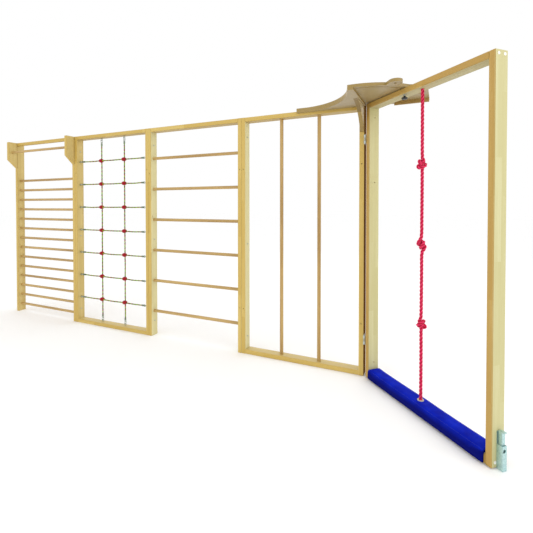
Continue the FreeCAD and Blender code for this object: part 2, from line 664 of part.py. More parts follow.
deck_cuts.append(cut("groove", sector("groove_outer", LOCK_SWEEP + GROOVE_WIDTH / 2),
                     [sector("groove_inner", LOCK_SWEEP - GROOVE_WIDTH / 2)]))

batten_spot = (WALL_END + BATTEN_START, BATTEN_SETBACK, FRAME_HEIGHT - BATTEN_HEIGHT)
batten_size = (DECK_WING - BATTEN_START, BATTEN_THICKNESS, BATTEN_HEIGHT)
batten_blank = box("deck_batten_blank", batten_spot, batten_size)

gusset_x = WALL_END - POST_WIDTH / 2 - GUSSET_THICKNESS / 2
gusset_outline = [
    (0, DECK_FLOOR),
    (-GUSSET_REACH, DECK_FLOOR, GUSSET_CURVE, 1),
    (-GUSSET_LEG, DECK_FLOOR - GUSSET_DROP + GUSSET_LEG_HEIGHT),
    (-GUSSET_LEG, DECK_FLOOR - GUSSET_DROP),
    (0, DECK_FLOOR - GUSSET_DROP),
]
finish(board("deck_gusset", "YZ_Plane", gusset_outline, GUSSET_THICKNESS, (gusset_x, 0, 0)), "deck_gusset")

# Countersunk screws hold the upper board down on the beam, the batten and the lower board.
DECK_SCREW = DECK_UPPER + SCREW_LENGTH / 2
deck_screws = []
batten_cuts = []
screw_places = [(WALL_END - DECK_TIP / 4 * share, MID_DEPTH) for share in (1, 2, 3)]
batten_places = [(batten_spot[0] + batten_size[0] * share, BATTEN_SETBACK + BATTEN_THICKNESS / 2)
                 for share in (0.2, 0.8)]
for places, cuts in ((screw_places, beam_cuts["pole_top_beam"]), (batten_places, batten_cuts)):
    for across, deep in places:
        top = FRAME_HEIGHT + DECK_UPPER

        def screw_pieces(name):
            stem = rod(name, (across, deep, top - DECK_SCREW), SCREW_RADIUS, DECK_SCREW)
            head = rod(name, (across, deep, top - SCREW_HEAD), SCREW_HEAD, SCREW_HEAD)
            return joined(name, [stem, head])

        deck_screws.append(screw_pieces("deck_screw"))
        deck_cuts.append(screw_pieces("deck_screw_hole"))
        cuts.append(rod("deck_screw_bore", (across, deep, top - DECK_SCREW), SCREW_RADIUS, DECK_SCREW))
upper_whole = joined("deck_upper_whole", [upper_blank, lug, lug_neck])
finish(cut("deck_upper_board", upper_whole, deck_cuts), "deck_upper_board")
finish(cut("deck_batten", batten_blank, batten_cuts), "deck_batten")
finish(group("deck_screws", deck_screws), "deck_screws")

# ---------------------------------------------------------------- hinges
# Both hinges share their nodes: the fixed leaves carry the outer knuckles, the swinging
# leaves the middle one, and a headed pin runs through all three.
KNUCKLE = HINGE_HEIGHT / 3
hinge_levels = [HINGE_LOW - HINGE_HEIGHT / 2, HINGE_HIGH - HINGE_HEIGHT / 2]
fixed_leaves = []
door_leaves = []
hinge_pins = []
fixed_screws = []
door_screws = []
door_post_cuts = []
SCREW_ROWS = (0.2, 0.5, 0.8)
for foot in hinge_levels:
    plate = box("fixed_plate", (WALL_END, AXIS_Y, foot), (LEAF_THICKNESS, LEAF_WIDTH, HINGE_HEIGHT))
    low = rod("low_knuckle", (AXIS_X, AXIS_Y, foot), BARREL_RADIUS, KNUCKLE - KNUCKLE_SPACE)
    high = rod("high_knuckle", (AXIS_X, AXIS_Y, foot + KNUCKLE * 2 + KNUCKLE_SPACE),
               BARREL_RADIUS, KNUCKLE - KNUCKLE_SPACE)
    # A strap and a wing join each outer knuckle to the plate, clear of the middle knuckle's turn.
    arms = []
    for start in (foot, foot + KNUCKLE * 2 + KNUCKLE_SPACE):
        corner = (WALL_END, AXIS_Y - BARREL_RADIUS, start)
        arms.append(box("fixed_strap", corner, (HINGE_GAP / 2, LEAF_THICKNESS, KNUCKLE - KNUCKLE_SPACE)))
        arms.append(box("fixed_wing", corner, (LEAF_THICKNESS, BARREL_RADIUS, KNUCKLE - KNUCKLE_SPACE)))
    relief = rod("knuckle_relief", (AXIS_X, AXIS_Y, foot + KNUCKLE - KNUCKLE_SPACE),
                 BARREL_RADIUS + KNUCKLE_RELIEF, KNUCKLE + KNUCKLE_SPACE * 2)
    bore = rod("fixed_bore", (AXIS_X, AXIS_Y, foot), HINGE_PIN_RADIUS + PIN_CLEARANCE, HINGE_HEIGHT)
    holes = []
    for row in SCREW_ROWS:
        spot = (WALL_END - SCREW_LENGTH + LEAF_THICKNESS, AXIS_Y + LEAF_WIDTH * 0.72, foot + HINGE_HEIGHT * row)
        head_spot = (WALL_END + LEAF_THICKNESS, spot[1], spot[2])
        stem = rod("screw_stem", spot, SCREW_RADIUS, SCREW_LENGTH, "x")
        head = rod("screw_head", head_spot, SCREW_HEAD, SCREW_RADIUS * 0.8, "x")
        fixed_screws.append(joined("screw", [stem, head]))
        holes.append(rod("leaf_hole", spot, SCREW_RADIUS, SCREW_LENGTH, "x"))
        post_cuts[POLES, "right"].append(rod("screw_bore", spot, SCREW_RADIUS, SCREW_LENGTH, "x"))
    blank = joined("fixed_leaf_blank", [plate, low, high] + arms)
    fixed_leaves.append(cut("fixed_leaf", blank, [bore, relief] + holes))

    pin = rod("hinge_pin", (AXIS_X, AXIS_Y, foot), HINGE_PIN_RADIUS, HINGE_HEIGHT)
    cap = rod("hinge_pin_head", (AXIS_X, AXIS_Y, foot + HINGE_HEIGHT), BARREL_RADIUS - 1, LEAF_THICKNESS)
    hinge_pins.append(joined("pin", [pin, cap]))

    # The swinging leaf is drawn with the hinge axis at the origin and the frame in line with it.
    near = HINGE_GAP / 2 - LEAF_THICKNESS
    plate = box("door_plate", (near, 0, foot), (LEAF_THICKNESS, LEAF_WIDTH, HINGE_HEIGHT))
    wing = box("door_wing", (near, -BARREL_RADIUS, foot + KNUCKLE), (LEAF_THICKNESS, BARREL_RADIUS, KNUCKLE))
    middle = rod("middle_knuckle", (0, 0, foot + KNUCKLE), BARREL_RADIUS, KNUCKLE)
    strap = box("door_strap", (0, -BARREL_RADIUS, foot + KNUCKLE), (HINGE_GAP / 2, LEAF_THICKNESS, KNUCKLE))
    bore = rod("door_bore", (0, 0, foot), HINGE_PIN_RADIUS + PIN_CLEARANCE, HINGE_HEIGHT)
    low_relief = rod("door_relief", (0, 0, foot), BARREL_RADIUS + KNUCKLE_RELIEF, KNUCKLE)
    high_relief = rod("door_relief", (0, 0, foot + KNUCKLE * 2), BARREL_RADIUS + KNUCKLE_RELIEF, KNUCKLE)
    holes = []
    for row in SCREW_ROWS:
        spot = (near, LEAF_WIDTH * 0.72, foot + HINGE_HEIGHT * row)
        stem = rod("screw_stem", spot, SCREW_RADIUS, SCREW_LENGTH, "x")
        head = rod("screw_head", (near - SCREW_RADIUS * 0.8, spot[1], spot[2]),
                   SCREW_HEAD, SCREW_RADIUS * 0.8, "x")
        door_screws.append(joined("screw", [stem, head]))
        holes.append(rod("leaf_hole", spot, SCREW_RADIUS, SCREW_LENGTH, "x"))
        door_post_cuts.append(rod("screw_bore", spot, SCREW_RADIUS, SCREW_LENGTH, "x"))
    blank = joined("door_leaf_blank", [plate, wing, middle, strap])
    door_leaves.append(cut("door_leaf", blank, [bore, low_relief, high_relief] + holes))
finish(group("hinge_fixed_leaves", fixed_leaves), "hinge_fixed_leaves")
finish(group("hinge_pins", hinge_pins), "hinge_pins")
finish(group("hinge_fixed_screws", fixed_screws), "hinge_fixed_screws")
finish(group("hinge_swing_leaves", door_leaves), "hinge_swing_leaves", on_door=True)

# ---------------------------------------------------------------- posts and beams, now all their holes are known
names = {BARS: "wall_bar", NET: "net", LADDER: "ladder", POLES: "pole"}
for (frame, side), holes in post_cuts.items():
    name = "%s_post_%s" % (names[frame], side)
    blank = box(name + "_blank", (post_start(frame, side), 0, 0), (POST_WIDTH, POST_DEPTH, FRAME_HEIGHT))
    finish(cut(name, blank, holes), name)
for name, blank in beams.items():
    finish(cut(name, blank, beam_cuts[name]), name)

# ---------------------------------------------------------------- swinging frame, drawn from its hinge axis
DOOR_NEAR = HINGE_GAP / 2
DOOR_FAR = DOOR_NEAR + FRAME_WIDTH
DOOR_FRONT = HINGE_OUT
DOOR_TOP = FRAME_HEIGHT - DOOR_HEAD_GAP
DOOR_HEIGHT = DOOR_TOP - DOOR_GAP
HEAD_BOTTOM = DOOR_TOP - BEAM_HEIGHT
SILL_TOP = DOOR_GAP + SILL_HEIGHT
ROPE_X = DOOR_NEAR + FRAME_WIDTH / 2
ROPE_Y = DOOR_FRONT + MID_DEPTH

post_size = (POST_WIDTH, POST_DEPTH, DOOR_HEIGHT)
blank = box("swing_hinge_post_blank", (DOOR_NEAR, DOOR_FRONT, DOOR_GAP), post_size)
for level in (SPARE_HOLE_LOW, SPARE_HOLE_MIDDLE, SPARE_HOLE_HIGH):
    door_post_cuts.append(
        rod("spare_hole", (DOOR_NEAR, DOOR_FRONT + SPARE_HOLE_DEEP, level), SPARE_HOLE_RADIUS, POST_WIDTH, "x"))

# Long bolts pass through each post into the beam ends and carry a white cap outside.
door_bolts = []
far_post_cuts = []
head_cuts = []
sill_cuts = []
DOOR_BOLT = POST_WIDTH + SOCKET_DEPTH - CAP_STEM
bolt_rows = [(HEAD_BOLT_EDGE, HEAD_BOTTOM + BEAM_HEIGHT / 2, head_cuts),
             (POST_DEPTH - HEAD_BOLT_EDGE, HEAD_BOTTOM + BEAM_HEIGHT / 2, head_cuts),
             (SILL_BOLT_DEEP, DOOR_GAP + SILL_HEIGHT / 2, sill_cuts)]
caps = []
for inset, level, beam_holes in bolt_rows:
    deep = DOOR_FRONT + inset
    for start, cuts in ((DOOR_NEAR + CAP_STEM, door_post_cuts), (DOOR_FAR - CAP_STEM - DOOR_BOLT, far_post_cuts)):
        door_bolts.append(rod("frame_bolt", (start, deep, level), JOINING_BOLT_RADIUS, DOOR_BOLT, "x"))
        cuts.append(rod("bolt_bore", (start, deep, level), JOINING_BOLT_RADIUS, DOOR_BOLT, "x"))
        beam_holes.append(rod("bolt_bore", (start, deep, level), JOINING_BOLT_RADIUS, DOOR_BOLT, "x"))
    far_post_cuts.append(rod("cap_bore", (DOOR_FAR - CAP_STEM, deep, level), DOWEL_RADIUS, CAP_STEM, "x"))
    door_post_cuts.append(rod("cap_bore", (DOOR_NEAR, deep, level), DOWEL_RADIUS, CAP_STEM, "x"))
    stem = rod("cap_stem", (DOOR_FAR - CAP_STEM, deep, level), DOWEL_RADIUS, CAP_STEM, "x")
    disc = rod("cap_disc", (DOOR_FAR, deep, level), CAP_RADIUS, CAP_HEIGHT, "x")
    caps.append(joined("cap", [stem, disc]))
finish(cut("swing_hinge_post", blank, door_post_cuts), "swing_hinge_post", on_door=True)
finish(group("swing_frame_bolts", door_bolts), "swing_frame_bolts", on_door=True)
finish(group("swing_post_caps", caps), "swing_post_caps", on_door=True)

head_size = (CLEAR_WIDTH, POST_DEPTH, BEAM_HEIGHT)
head_blank = box("swing_top_beam_blank", (DOOR_NEAR + POST_WIDTH, DOOR_FRONT, HEAD_BOTTOM), head_size)
head_cuts.append(rod("lock_bore", (lock_x, lock_y, HEAD_BOTTOM), LOCK_RADIUS + LOCK_CLEARANCE, BEAM_HEIGHT))
finish(cut("swing_top_beam", head_blank, head_cuts), "swing_top_beam", on_door=True)
sill_spot = (DOOR_NEAR + POST_WIDTH, DOOR_FRONT, DOOR_GAP)
sill_blank = box("swing_bottom_beam_blank", sill_spot, (CLEAR_WIDTH, POST_DEPTH, SILL_HEIGHT))
finish(cut("swing_bottom_beam", sill_blank, sill_cuts), "swing_bottom_beam", on_door=True)

# ---------------------------------------------------------------- pad, rope and grommet
PAD_HEIGHT = SILL_TOP + PAD_TOP - PAD_BOTTOM
pad_spot = (DOOR_NEAR + POST_WIDTH + PAD_END_INNER, DOOR_FRONT - PAD_SIDE, PAD_BOTTOM)
pad_size = (CLEAR_WIDTH - PAD_END_INNER - PAD_END_OUTER, POST_DEPTH + PAD_SIDE * 2, PAD_HEIGHT)
pad_blank = box("pad_blank", pad_spot, pad_size)
pad_channel = box("pad_channel", sill_spot, (CLEAR_WIDTH, POST_DEPTH, SILL_HEIGHT))
rope_hole = rod("pad_rope_hole", (ROPE_X, ROPE_Y, SILL_TOP), ROPE_RADIUS + ROPE_CLEARANCE, PAD_TOP)
finish(cut("sill_pad", pad_blank, [pad_channel, rope_hole]), "sill_pad", on_door=True)

GROMMET_SEAT = SILL_TOP + PAD_TOP
grommet = rod("grommet_disc", (ROPE_X, ROPE_Y, GROMMET_SEAT), GROMMET_RADIUS, GROMMET_HEIGHT)
grommet_hole = rod("grommet_hole", (ROPE_X, ROPE_Y, GROMMET_SEAT), ROPE_RADIUS + ROPE_CLEARANCE, GROMMET_HEIGHT)
finish(cut("rope_grommet", grommet, [grommet_hole]), "rope_grommet", on_door=True)

rope_spans = []
knots = []
span_start = SILL_TOP
for index in range(KNOT_COUNT + 1):
    knot_level = KNOT_FIRST + KNOT_PITCH * index - KNOT_HEIGHT / 2
    span_end = knot_level if index < KNOT_COUNT else HEAD_BOTTOM
    rope_spans.append(rod("rope_span", (ROPE_X, ROPE_Y, span_start), ROPE_RADIUS, span_end - span_start))
    if index < KNOT_COUNT:
        knots.append(rod("knot", (ROPE_X, ROPE_Y, knot_level), KNOT_RADIUS, KNOT_HEIGHT))
    span_start = knot_level + KNOT_HEIGHT
finish(group("climbing_rope", rope_spans), "climbing_rope", on_door=True)
finish(group("climbing_rope_knots", knots), "climbing_rope_knots", on_door=True)

# ---------------------------------------------------------------- lock pin and its knob
KNOB_TOP = HEAD_BOTTOM - KNOB_DROP
PIN_FOOT = KNOB_TOP - KNOB_HEIGHT / 2
pin = rod("lock_pin_rod", (lock_x, lock_y, PIN_FOOT), LOCK_RADIUS, DOOR_TOP - PIN_FOOT)
finish(group("lock_pin", [pin]), "lock_pin", on_door=True)
KNOB_FLOOR = KNOB_TOP - KNOB_HEIGHT
knob = doc.addObject("PartDesign::Body", "knob_turned")
turning = knob.newObject("PartDesign::Revolution", "knob_revolution")
turning.Profile = profile(knob, "knob_outline", "XZ_Plane", [
    (0, 0),
    (KNOB_RADIUS * 0.7, 0),
    (KNOB_RADIUS, KNOB_HEIGHT * 0.3),
    (KNOB_RADIUS, KNOB_HEIGHT * 0.42),
    (KNOB_NECK + 2, KNOB_HEIGHT * 0.8),
    (KNOB_NECK + 2, KNOB_HEIGHT),
    (0, KNOB_HEIGHT),
])
turning.ReferenceAxis = (knob.getObject("knob_outline"), ["V_Axis"])
turning.Angle = 360
seat(knob, (lock_x, lock_y, KNOB_FLOOR))
knob_bore = rod("knob_bore", (lock_x, lock_y, PIN_FOOT), LOCK_RADIUS, KNOB_HEIGHT)
finish(cut("lock_knob", knob, [knob_bore]), "lock_knob", on_door=True)

# ---------------------------------------------------------------- floor latch on the outer post
latch_y = DOOR_FRONT + SILL_BOLT_DEEP + CAP_RADIUS + LATCH_GAP
latch_blank = box("latch_blank", (DOOR_FAR, latch_y, 0), (LATCH_REACH, LATCH_WIDTH, LATCH_HEIGHT))
latch_hollow = box("latch_hollow", (DOOR_FAR + LATCH_PLATE, latch_y + LATCH_PLATE, 0),
                   (LATCH_REACH - LATCH_PLATE * 2, LATCH_WIDTH - LATCH_PLATE * 2, LATCH_HEIGHT))
latch_window = rod("latch_window", (DOOR_FAR + LATCH_REACH - LATCH_PLATE, latch_y + LATCH_WIDTH * 0.4, LATCH_WINDOW),
                   LATCH_HOLE_RADIUS, LATCH_PLATE, "x")
latch_back = box("latch_back", (DOOR_FAR, latch_y, 0), (LATCH_PLATE, LATCH_WIDTH, LATCH_BACK_HEIGHT))
latch_flange = box("latch_flange", (DOOR_FAR, latch_y + LATCH_WIDTH, LATCH_FLANGE_FOOT),
                   (LATCH_PLATE, LATCH_FLANGE, LATCH_HEIGHT - LATCH_FLANGE_FOOT * 2))
latch_cuts = []
flange_middle = latch_y + LATCH_WIDTH + LATCH_FLANGE / 2
for deep, level in ((flange_middle, LATCH_SCREW_LOW), (flange_middle, LATCH_SCREW_MIDDLE),
                    (latch_y + LATCH_WIDTH / 2, LATCH_SCREW_HIGH)):
    spot = (DOOR_FAR + LATCH_PLATE - SCREW_LENGTH, deep, level)
    stem = rod("screw_stem", spot, SCREW_RADIUS, SCREW_LENGTH, "x")
    head = rod("screw_head", (DOOR_FAR + LATCH_PLATE, deep, level), SCREW_HEAD, SCREW_RADIUS * 0.8, "x")
    door_screws.append(joined("screw", [stem, head]))
    latch_cuts.append(rod("latch_screw_hole", spot, SCREW_RADIUS, SCREW_LENGTH, "x"))
    far_post_cuts.append(rod("screw_bore", spot, SCREW_RADIUS, SCREW_LENGTH, "x"))
latch_whole = joined("latch_whole", [cut("latch_tube", latch_blank, [latch_hollow, latch_window]),
                                     latch_back, latch_flange])
finish(cut("latch_housing", latch_whole, latch_cuts), "latch_housing", on_door=True)
finish(group("swing_screws", door_screws), "swing_screws", on_door=True)
blank = box("swing_outer_post_blank", (DOOR_FAR - POST_WIDTH, DOOR_FRONT, DOOR_GAP), post_size)
finish(cut("swing_outer_post", blank, far_post_cuts), "swing_outer_post", on_door=True)

bolt_x = DOOR_FAR + LATCH_REACH / 2 - BOLT_SIDE / 2
bolt_y = latch_y + LATCH_WIDTH / 2 - BOLT_SIDE / 2
bar = box("latch_bar", (bolt_x, bolt_y, BOLT_LIFT), (BOLT_SIDE, BOLT_SIDE, BOLT_LENGTH))
tab = box("latch_tab", (bolt_x, bolt_y, BOLT_LIFT + BOLT_LENGTH), (TAB_LENGTH, BOLT_SIDE, TAB_THICKNESS))
finish(joined("latch_bolt", [bar, tab]), "latch_bolt", on_door=True)

# ---------------------------------------------------------------- check and export
doc.recompute()
for item in doc.Objects:
    if "Invalid" in item.State or "Error" in item.State:
        raise RuntimeError("%s is %s" % (item.Label, item.State))
for item in finished:
    if item.Shape.isNull() or not item.Shape.isValid() or not item.Shape.Solids:
        raise RuntimeError("%s has no sound shape" % item.Label)
    item.Shape.exportStep("parts/%s.step" % item.Label)
print("%d sub-parts" % len(finished))
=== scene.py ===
"""Looks of the indoor climbing wall: lacquered timber frames, ropes, pad, deck and fittings."""

import json
import math

import bmesh
import bpy
from mathutils import Matrix, Vector


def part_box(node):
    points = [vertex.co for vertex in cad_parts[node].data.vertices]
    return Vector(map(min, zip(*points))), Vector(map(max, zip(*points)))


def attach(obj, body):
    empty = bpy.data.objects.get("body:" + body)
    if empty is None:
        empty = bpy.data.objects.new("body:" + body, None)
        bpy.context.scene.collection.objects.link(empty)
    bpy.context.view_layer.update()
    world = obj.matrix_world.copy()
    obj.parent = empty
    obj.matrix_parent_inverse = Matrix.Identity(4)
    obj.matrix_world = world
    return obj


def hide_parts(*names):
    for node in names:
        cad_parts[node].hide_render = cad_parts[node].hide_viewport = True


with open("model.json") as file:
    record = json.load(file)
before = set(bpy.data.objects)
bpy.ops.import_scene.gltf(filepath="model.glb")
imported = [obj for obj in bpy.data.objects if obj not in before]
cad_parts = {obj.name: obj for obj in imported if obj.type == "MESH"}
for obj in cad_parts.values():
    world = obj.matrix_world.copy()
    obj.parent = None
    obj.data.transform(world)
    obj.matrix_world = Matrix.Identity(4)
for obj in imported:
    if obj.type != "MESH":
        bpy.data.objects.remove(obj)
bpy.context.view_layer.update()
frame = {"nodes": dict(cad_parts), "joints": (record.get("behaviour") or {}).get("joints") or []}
nodes = frame["nodes"]


# ---------------------------------------------------------------- room, camera and light
# A white studio with a pale floor. The camera stands in front of the swinging frame at
# eye height, and most of the light comes from the right, through one large soft lamp.
def hue(code):
    """An sRGB hex colour as linear red, green, blue and alpha."""
    parts = [int(code[i:i + 2], 16) / 255 for i in (1, 3, 5)]
    return [part / 12.92 if part <= 0.04045 else ((part + 0.055) / 1.055) ** 2.4 for part in parts] + [1.0]


def add(tree, kind, inputs=None, **settings):
    """Adds a node with its settings, and gives its inputs values or links by name or number."""
    node = tree.nodes.new(kind)
    for name, value in settings.items():
        setattr(node, name, value)
    for name, value in (inputs or {}).items():
        if isinstance(value, bpy.types.NodeSocket):
            tree.links.new(value, node.inputs[name])
        else:
            node.inputs[name].default_value = value
    return node


def new_finish(name):
    """An empty material and its node tree."""
    finish = bpy.data.materials.new(name)
    finish.use_nodes = True
    finish.node_tree.nodes.clear()
    return finish, finish.node_tree


def surface(tree, inputs):
    """Ends a material in one Principled shader."""
    shader = add(tree, "ShaderNodeBsdfPrincipled", inputs)
    add(tree, "ShaderNodeOutputMaterial", {"Surface": shader.outputs[0]})


def piece_from(name, geometry, finish=None):
    """A new object with its place in its mesh."""
    piece = bpy.data.objects.new(name, geometry)
    bpy.context.scene.collection.objects.link(piece)
    if finish:
        geometry.materials.clear()
        geometry.materials.append(finish)
    return piece


EYE_PLACE = (5.7851, -3.4702, 1.5754)
EYE_DIP, EYE_HEADING = 0.9214, 24.8373
EYE_TURN = (math.radians(90 - EYE_DIP), 0, math.radians(EYE_HEADING))
camera = piece_from("camera", bpy.data.cameras.new("camera"))
camera.location, camera.rotation_euler = EYE_PLACE, EYE_TURN
camera.data.sensor_width = 36
camera.data.lens = 25.213
camera.data.shift_x, camera.data.shift_y = -0.0058, -0.1033
camera.data.clip_end = 200
bpy.context.scene.camera = camera

# Matt white paint, which shows nothing but the faint soft shadows at the frames' feet.
matt_floor, tree = new_finish("floor_matt_white")
surface(tree, {"Base Color": hue("#ffffff"), "Roughness": 1.0, "Specular IOR Level": 0.2})
FLOOR_REACH, FLOOR_LEVEL = 60, -0.001
corners = [(x * FLOOR_REACH, y * FLOOR_REACH, FLOOR_LEVEL) for x, y in ((-1, -1), (1, -1), (1, 1), (-1, 1))]
floor_mesh = bpy.data.meshes.new("floor")
floor_mesh.from_pydata(corners, [], [(0, 1, 2, 3)])
piece_from("floor", floor_mesh, matt_floor)


def soft_lamp(name, place, aim, size, power):
    """A square lamp with soft shadows, turned towards its aim."""
    lamp = piece_from(name, bpy.data.lights.new(name, "AREA"))
    lamp.data.size, lamp.data.energy = size, power
    lamp.location = place
    lamp.rotation_euler = (Vector(aim) - Vector(place)).to_track_quat("-Z", "Y").to_euler()


soft_lamp("lamp_right", (10.5, -2.4, 3.6), (4.6, 0, 1.2), 4.0, 85)
soft_lamp("lamp_front", (0.5, -6.5, 4.2), (2.2, 0, 1.2), 4.0, 30)
soft_lamp("lamp_back", (3.0, 6.5, 5.0), (3.0, 0, 1.0), 5.0, 40)
world = bpy.data.worlds.new("studio")
world.use_nodes = True
backdrop = world.node_tree.nodes["Background"]
backdrop.inputs["Color"].default_value = hue("#ffffff")
backdrop.inputs["Strength"].default_value = 1.0
bpy.context.scene.world = world
bpy.context.scene.view_settings.view_transform = "Standard"
bpy.context.scene.view_settings.look = "None"

# ---------------------------------------------------------------- climbing rope
# One soft laid rope of three red polyamide strands, tied tight from under the sill pad to
# the top beam of the swinging frame, with an overhand knot at each of three heights.
DOOR_TURN = math.radians(45)
ALONG_DOOR = Vector((math.cos(DOOR_TURN), -math.sin(DOOR_TURN), 0))
INTO_DOOR = Vector((math.sin(DOOR_TURN), math.cos(DOOR_TURN), 0))


def route_of(name, points):
    """A route as one NURBS spline with the given control points, in metres."""
    curve = bpy.data.curves.new(name, "CURVE")
    curve.dimensions = "3D"
    spline = curve.splines.new("NURBS")
    spline.points.add(len(points) - 1)
    for held, place in zip(spline.points, points):
        held.co = (*place, 1)
    spline.order_u = 3
    spline.use_endpoint_u = True
    spline.resolution_u = 12
    return piece_from(name, curve)


def plain_mesh(piece):
    """The piece as its modifiers leave it, as a new plain mesh."""
    shown = piece.evaluated_get(bpy.context.evaluated_depsgraph_get())
    return bpy.data.meshes.new_from_object(shown)


def line_of(route):
    """The points that a route passes through, and its length."""
    line = [tuple(vertex.co) for vertex in plain_mesh(route).vertices]
    return line, sum(math.dist(start, end) for start, end in zip(line, line[1:]))


def socket_for(tree, label):
    """The identifier of a geometry tree's named input."""
    return next(item.identifier for item in tree.interface.items_tree
                if item.name == label and item.in_out == "INPUT")


def add_inputs(tree, labels):
    """Gives a geometry tree its geometry, its named sizes and its finish."""
    tree.interface.new_socket("Geometry", in_out="INPUT", socket_type="NodeSocketGeometry")
    for label in labels:
        tree.interface.new_socket(label, in_out="INPUT", socket_type="NodeSocketFloat")
    tree.interface.new_socket("Finish", in_out="INPUT", socket_type="NodeSocketMaterial")
    tree.interface.new_socket("Geometry", in_out="OUTPUT", socket_type="NodeSocketGeometry")
    return add(tree, "NodeGroupInput").outputs


def end_tree(tree, geometry, finish):
    """Ends a geometry tree in real mesh with its material."""
    real = add(tree, "GeometryNodeRealizeInstances", {"Geometry": geometry})
    done = add(tree, "GeometryNodeSetMaterial", {"Geometry": real.outputs[0], "Material": finish})
    add(tree, "NodeGroupOutput", {"Geometry": done.outputs[0]})


def run_tree(piece, tree, sizes, finish, name):
    """Runs a geometry tree on a piece and returns the result as a plain piece."""
    work = piece.modifiers.new("work", "NODES")
    work.node_group = tree
    for label, value in sizes.items():
        work[socket_for(tree, label)] = value
    work[socket_for(tree, "Finish")] = finish
    result = piece_from(name, plain_mesh(piece))
    piece.modifiers.remove(work)
    return result


# The twist tree lays strands round a spline: the profile is one small circle per strand,
# and the spline's tilt turns it once in each lay length.
twist = bpy.data.node_groups.new("laid_rope", "GeometryNodeTree")
given = add_inputs(twist, ("Strand Radius", "Strand Offset", "Lay Length", "Step"))
even = add(twist, "GeometryNodeResampleCurve", {"Curve": given["Geometry"], "Length": given["Step"]},
           mode="LENGTH")
run = add(twist, "GeometryNodeSplineParameter").outputs["Length"]
turns = add(twist, "ShaderNodeMath", {0: run, 1: given["Lay Length"]}, operation="DIVIDE")
tilt = add(twist, "ShaderNodeMath", {0: turns.outputs[0], 1: math.tau}, operation="MULTIPLY")
kept = add(twist, "GeometryNodeStoreNamedAttribute",
           {"Geometry": even.outputs[0], "Name": "run", "Value": run}, data_type="FLOAT", domain="POINT")
turned = add(twist, "GeometryNodeSetCurveTilt", {"Curve": kept.outputs[0], "Tilt": tilt.outputs[0]})
STRANDS, STRAND_SIDES = 3, 12
rings = add(twist, "GeometryNodeJoinGeometry")
for strand in range(STRANDS):
    ring = add(twist, "GeometryNodeCurvePrimitiveCircle",
               {"Resolution": STRAND_SIDES, "Radius": given["Strand Radius"]})
    angle = math.tau * strand / STRANDS
    across = [add(twist, "ShaderNodeMath", {0: given["Strand Offset"], 1: share}, operation="MULTIPLY")
              for share in (math.cos(angle), math.sin(angle))]
    place = add(twist, "ShaderNodeCombineXYZ", {0: across[0].outputs[0], 1: across[1].outputs[0]})
    moved = add(twist, "GeometryNodeTransform",
                {"Geometry": ring.outputs[0], "Translation": place.outputs[0]})
    part_way = add(twist, "GeometryNodeSplineParameter").outputs["Factor"]
    around = add(twist, "GeometryNodeStoreNamedAttribute",
                 {"Geometry": moved.outputs[0], "Name": "around", "Value": part_way},
                 data_type="FLOAT", domain="POINT")
    told = add(twist, "GeometryNodeStoreNamedAttribute",
               {"Geometry": around.outputs[0], "Name": "strand", "Value": float(strand)},
               data_type="FLOAT", domain="POINT")
    twist.links.new(told.outputs[0], rings.inputs[0])
body = add(twist, "GeometryNodeCurveToMesh",
           {"Curve": turned.outputs[0], "Profile Curve": rings.outputs[0], "Fill Caps": True})
smooth = add(twist, "GeometryNodeSetShadeSmooth", {"Geometry": body.outputs[0]})
end_tree(twist, smooth.outputs[0], given["Finish"])


def strand_groove_shade(tree):
    """How much painted shade a point of a laid rope takes, from 0 to 1: the deeper it lies between two
    strands, the more.
    """
    around = add(tree, "ShaderNodeAttribute", attribute_name="around").outputs["Fac"]
    strand = add(tree, "ShaderNodeAttribute", attribute_name="strand").outputs["Fac"]
    outward = add(tree, "ShaderNodeMath", {0: strand, 1: -1 / STRANDS, 2: around}, operation="MULTIPLY_ADD")
    angle = add(tree, "ShaderNodeMath", {0: outward.outputs[0], 1: math.tau}, operation="MULTIPLY")
    level = add(tree, "ShaderNodeMath", {0: angle.outputs[0]}, operation="COSINE").outputs[0]
    return add(tree, "ShaderNodeMapRange",
               {"Value": level, "From Min": 0.15, "From Max": 0.95, "To Min": 1.0, "To Max": 0.0}).outputs[0]


def yarn_ridges(tree, count, slant):
    """The ridges of a strand's yarns, which run round it that many turns in a metre."""
    run = add(tree, "ShaderNodeAttribute", attribute_name="run").outputs["Fac"]
    around = add(tree, "ShaderNodeAttribute", attribute_name="around").outputs["Fac"]
    wound = add(tree, "ShaderNodeMath", {0: run, 1: slant, 2: around}, operation="MULTIPLY_ADD")
    yarns = add(tree, "ShaderNodeMath", {0: wound.outputs[0], 1: math.tau * count}, operation="MULTIPLY")
    return add(tree, "ShaderNodeMath", {0: yarns.outputs[0]}, operation="SINE")


# Spun red polyamide: matt, slightly hairy yarn whose fibres run round each strand at a slant.
# The yarns and their fuzz are drawn coarser than they are, so that they show.
YARNS, YARN_SLANT = 9, 28.0
FUZZ_PER_M, PATCH_PER_M = 562.5, 9
red_yarn, tree = new_finish("rope_red_spun_polyamide")
ridge = yarn_ridges(tree, YARNS, YARN_SLANT)
place = add(tree, "ShaderNodeTexCoord").outputs["Object"]
fuzz = add(tree, "ShaderNodeTexNoise", {"Vector": place, "Scale": FUZZ_PER_M, "Detail": 3.0})
patch = add(tree, "ShaderNodeTexNoise", {"Vector": place, "Scale": PATCH_PER_M, "Detail": 2.0})
# Painted shade: the colour is lighter on the yarns' ridges and darker in the grooves between them, following
# the bump's height.
tone = add(tree, "ShaderNodeMath", {0: ridge.outputs[0], 1: 0.2, 2: 0.5}, operation="MULTIPLY_ADD")
mixed = add(tree, "ShaderNodeMath", {0: patch.outputs["Fac"], 1: 0.5, 2: tone.outputs[0]},
            operation="MULTIPLY_ADD")
colour = add(tree, "ShaderNodeValToRGB", {"Fac": mixed.outputs[0]})
colour.color_ramp.elements[0].position, colour.color_ramp.elements[0].color = 0.35, hue("#d80c44")
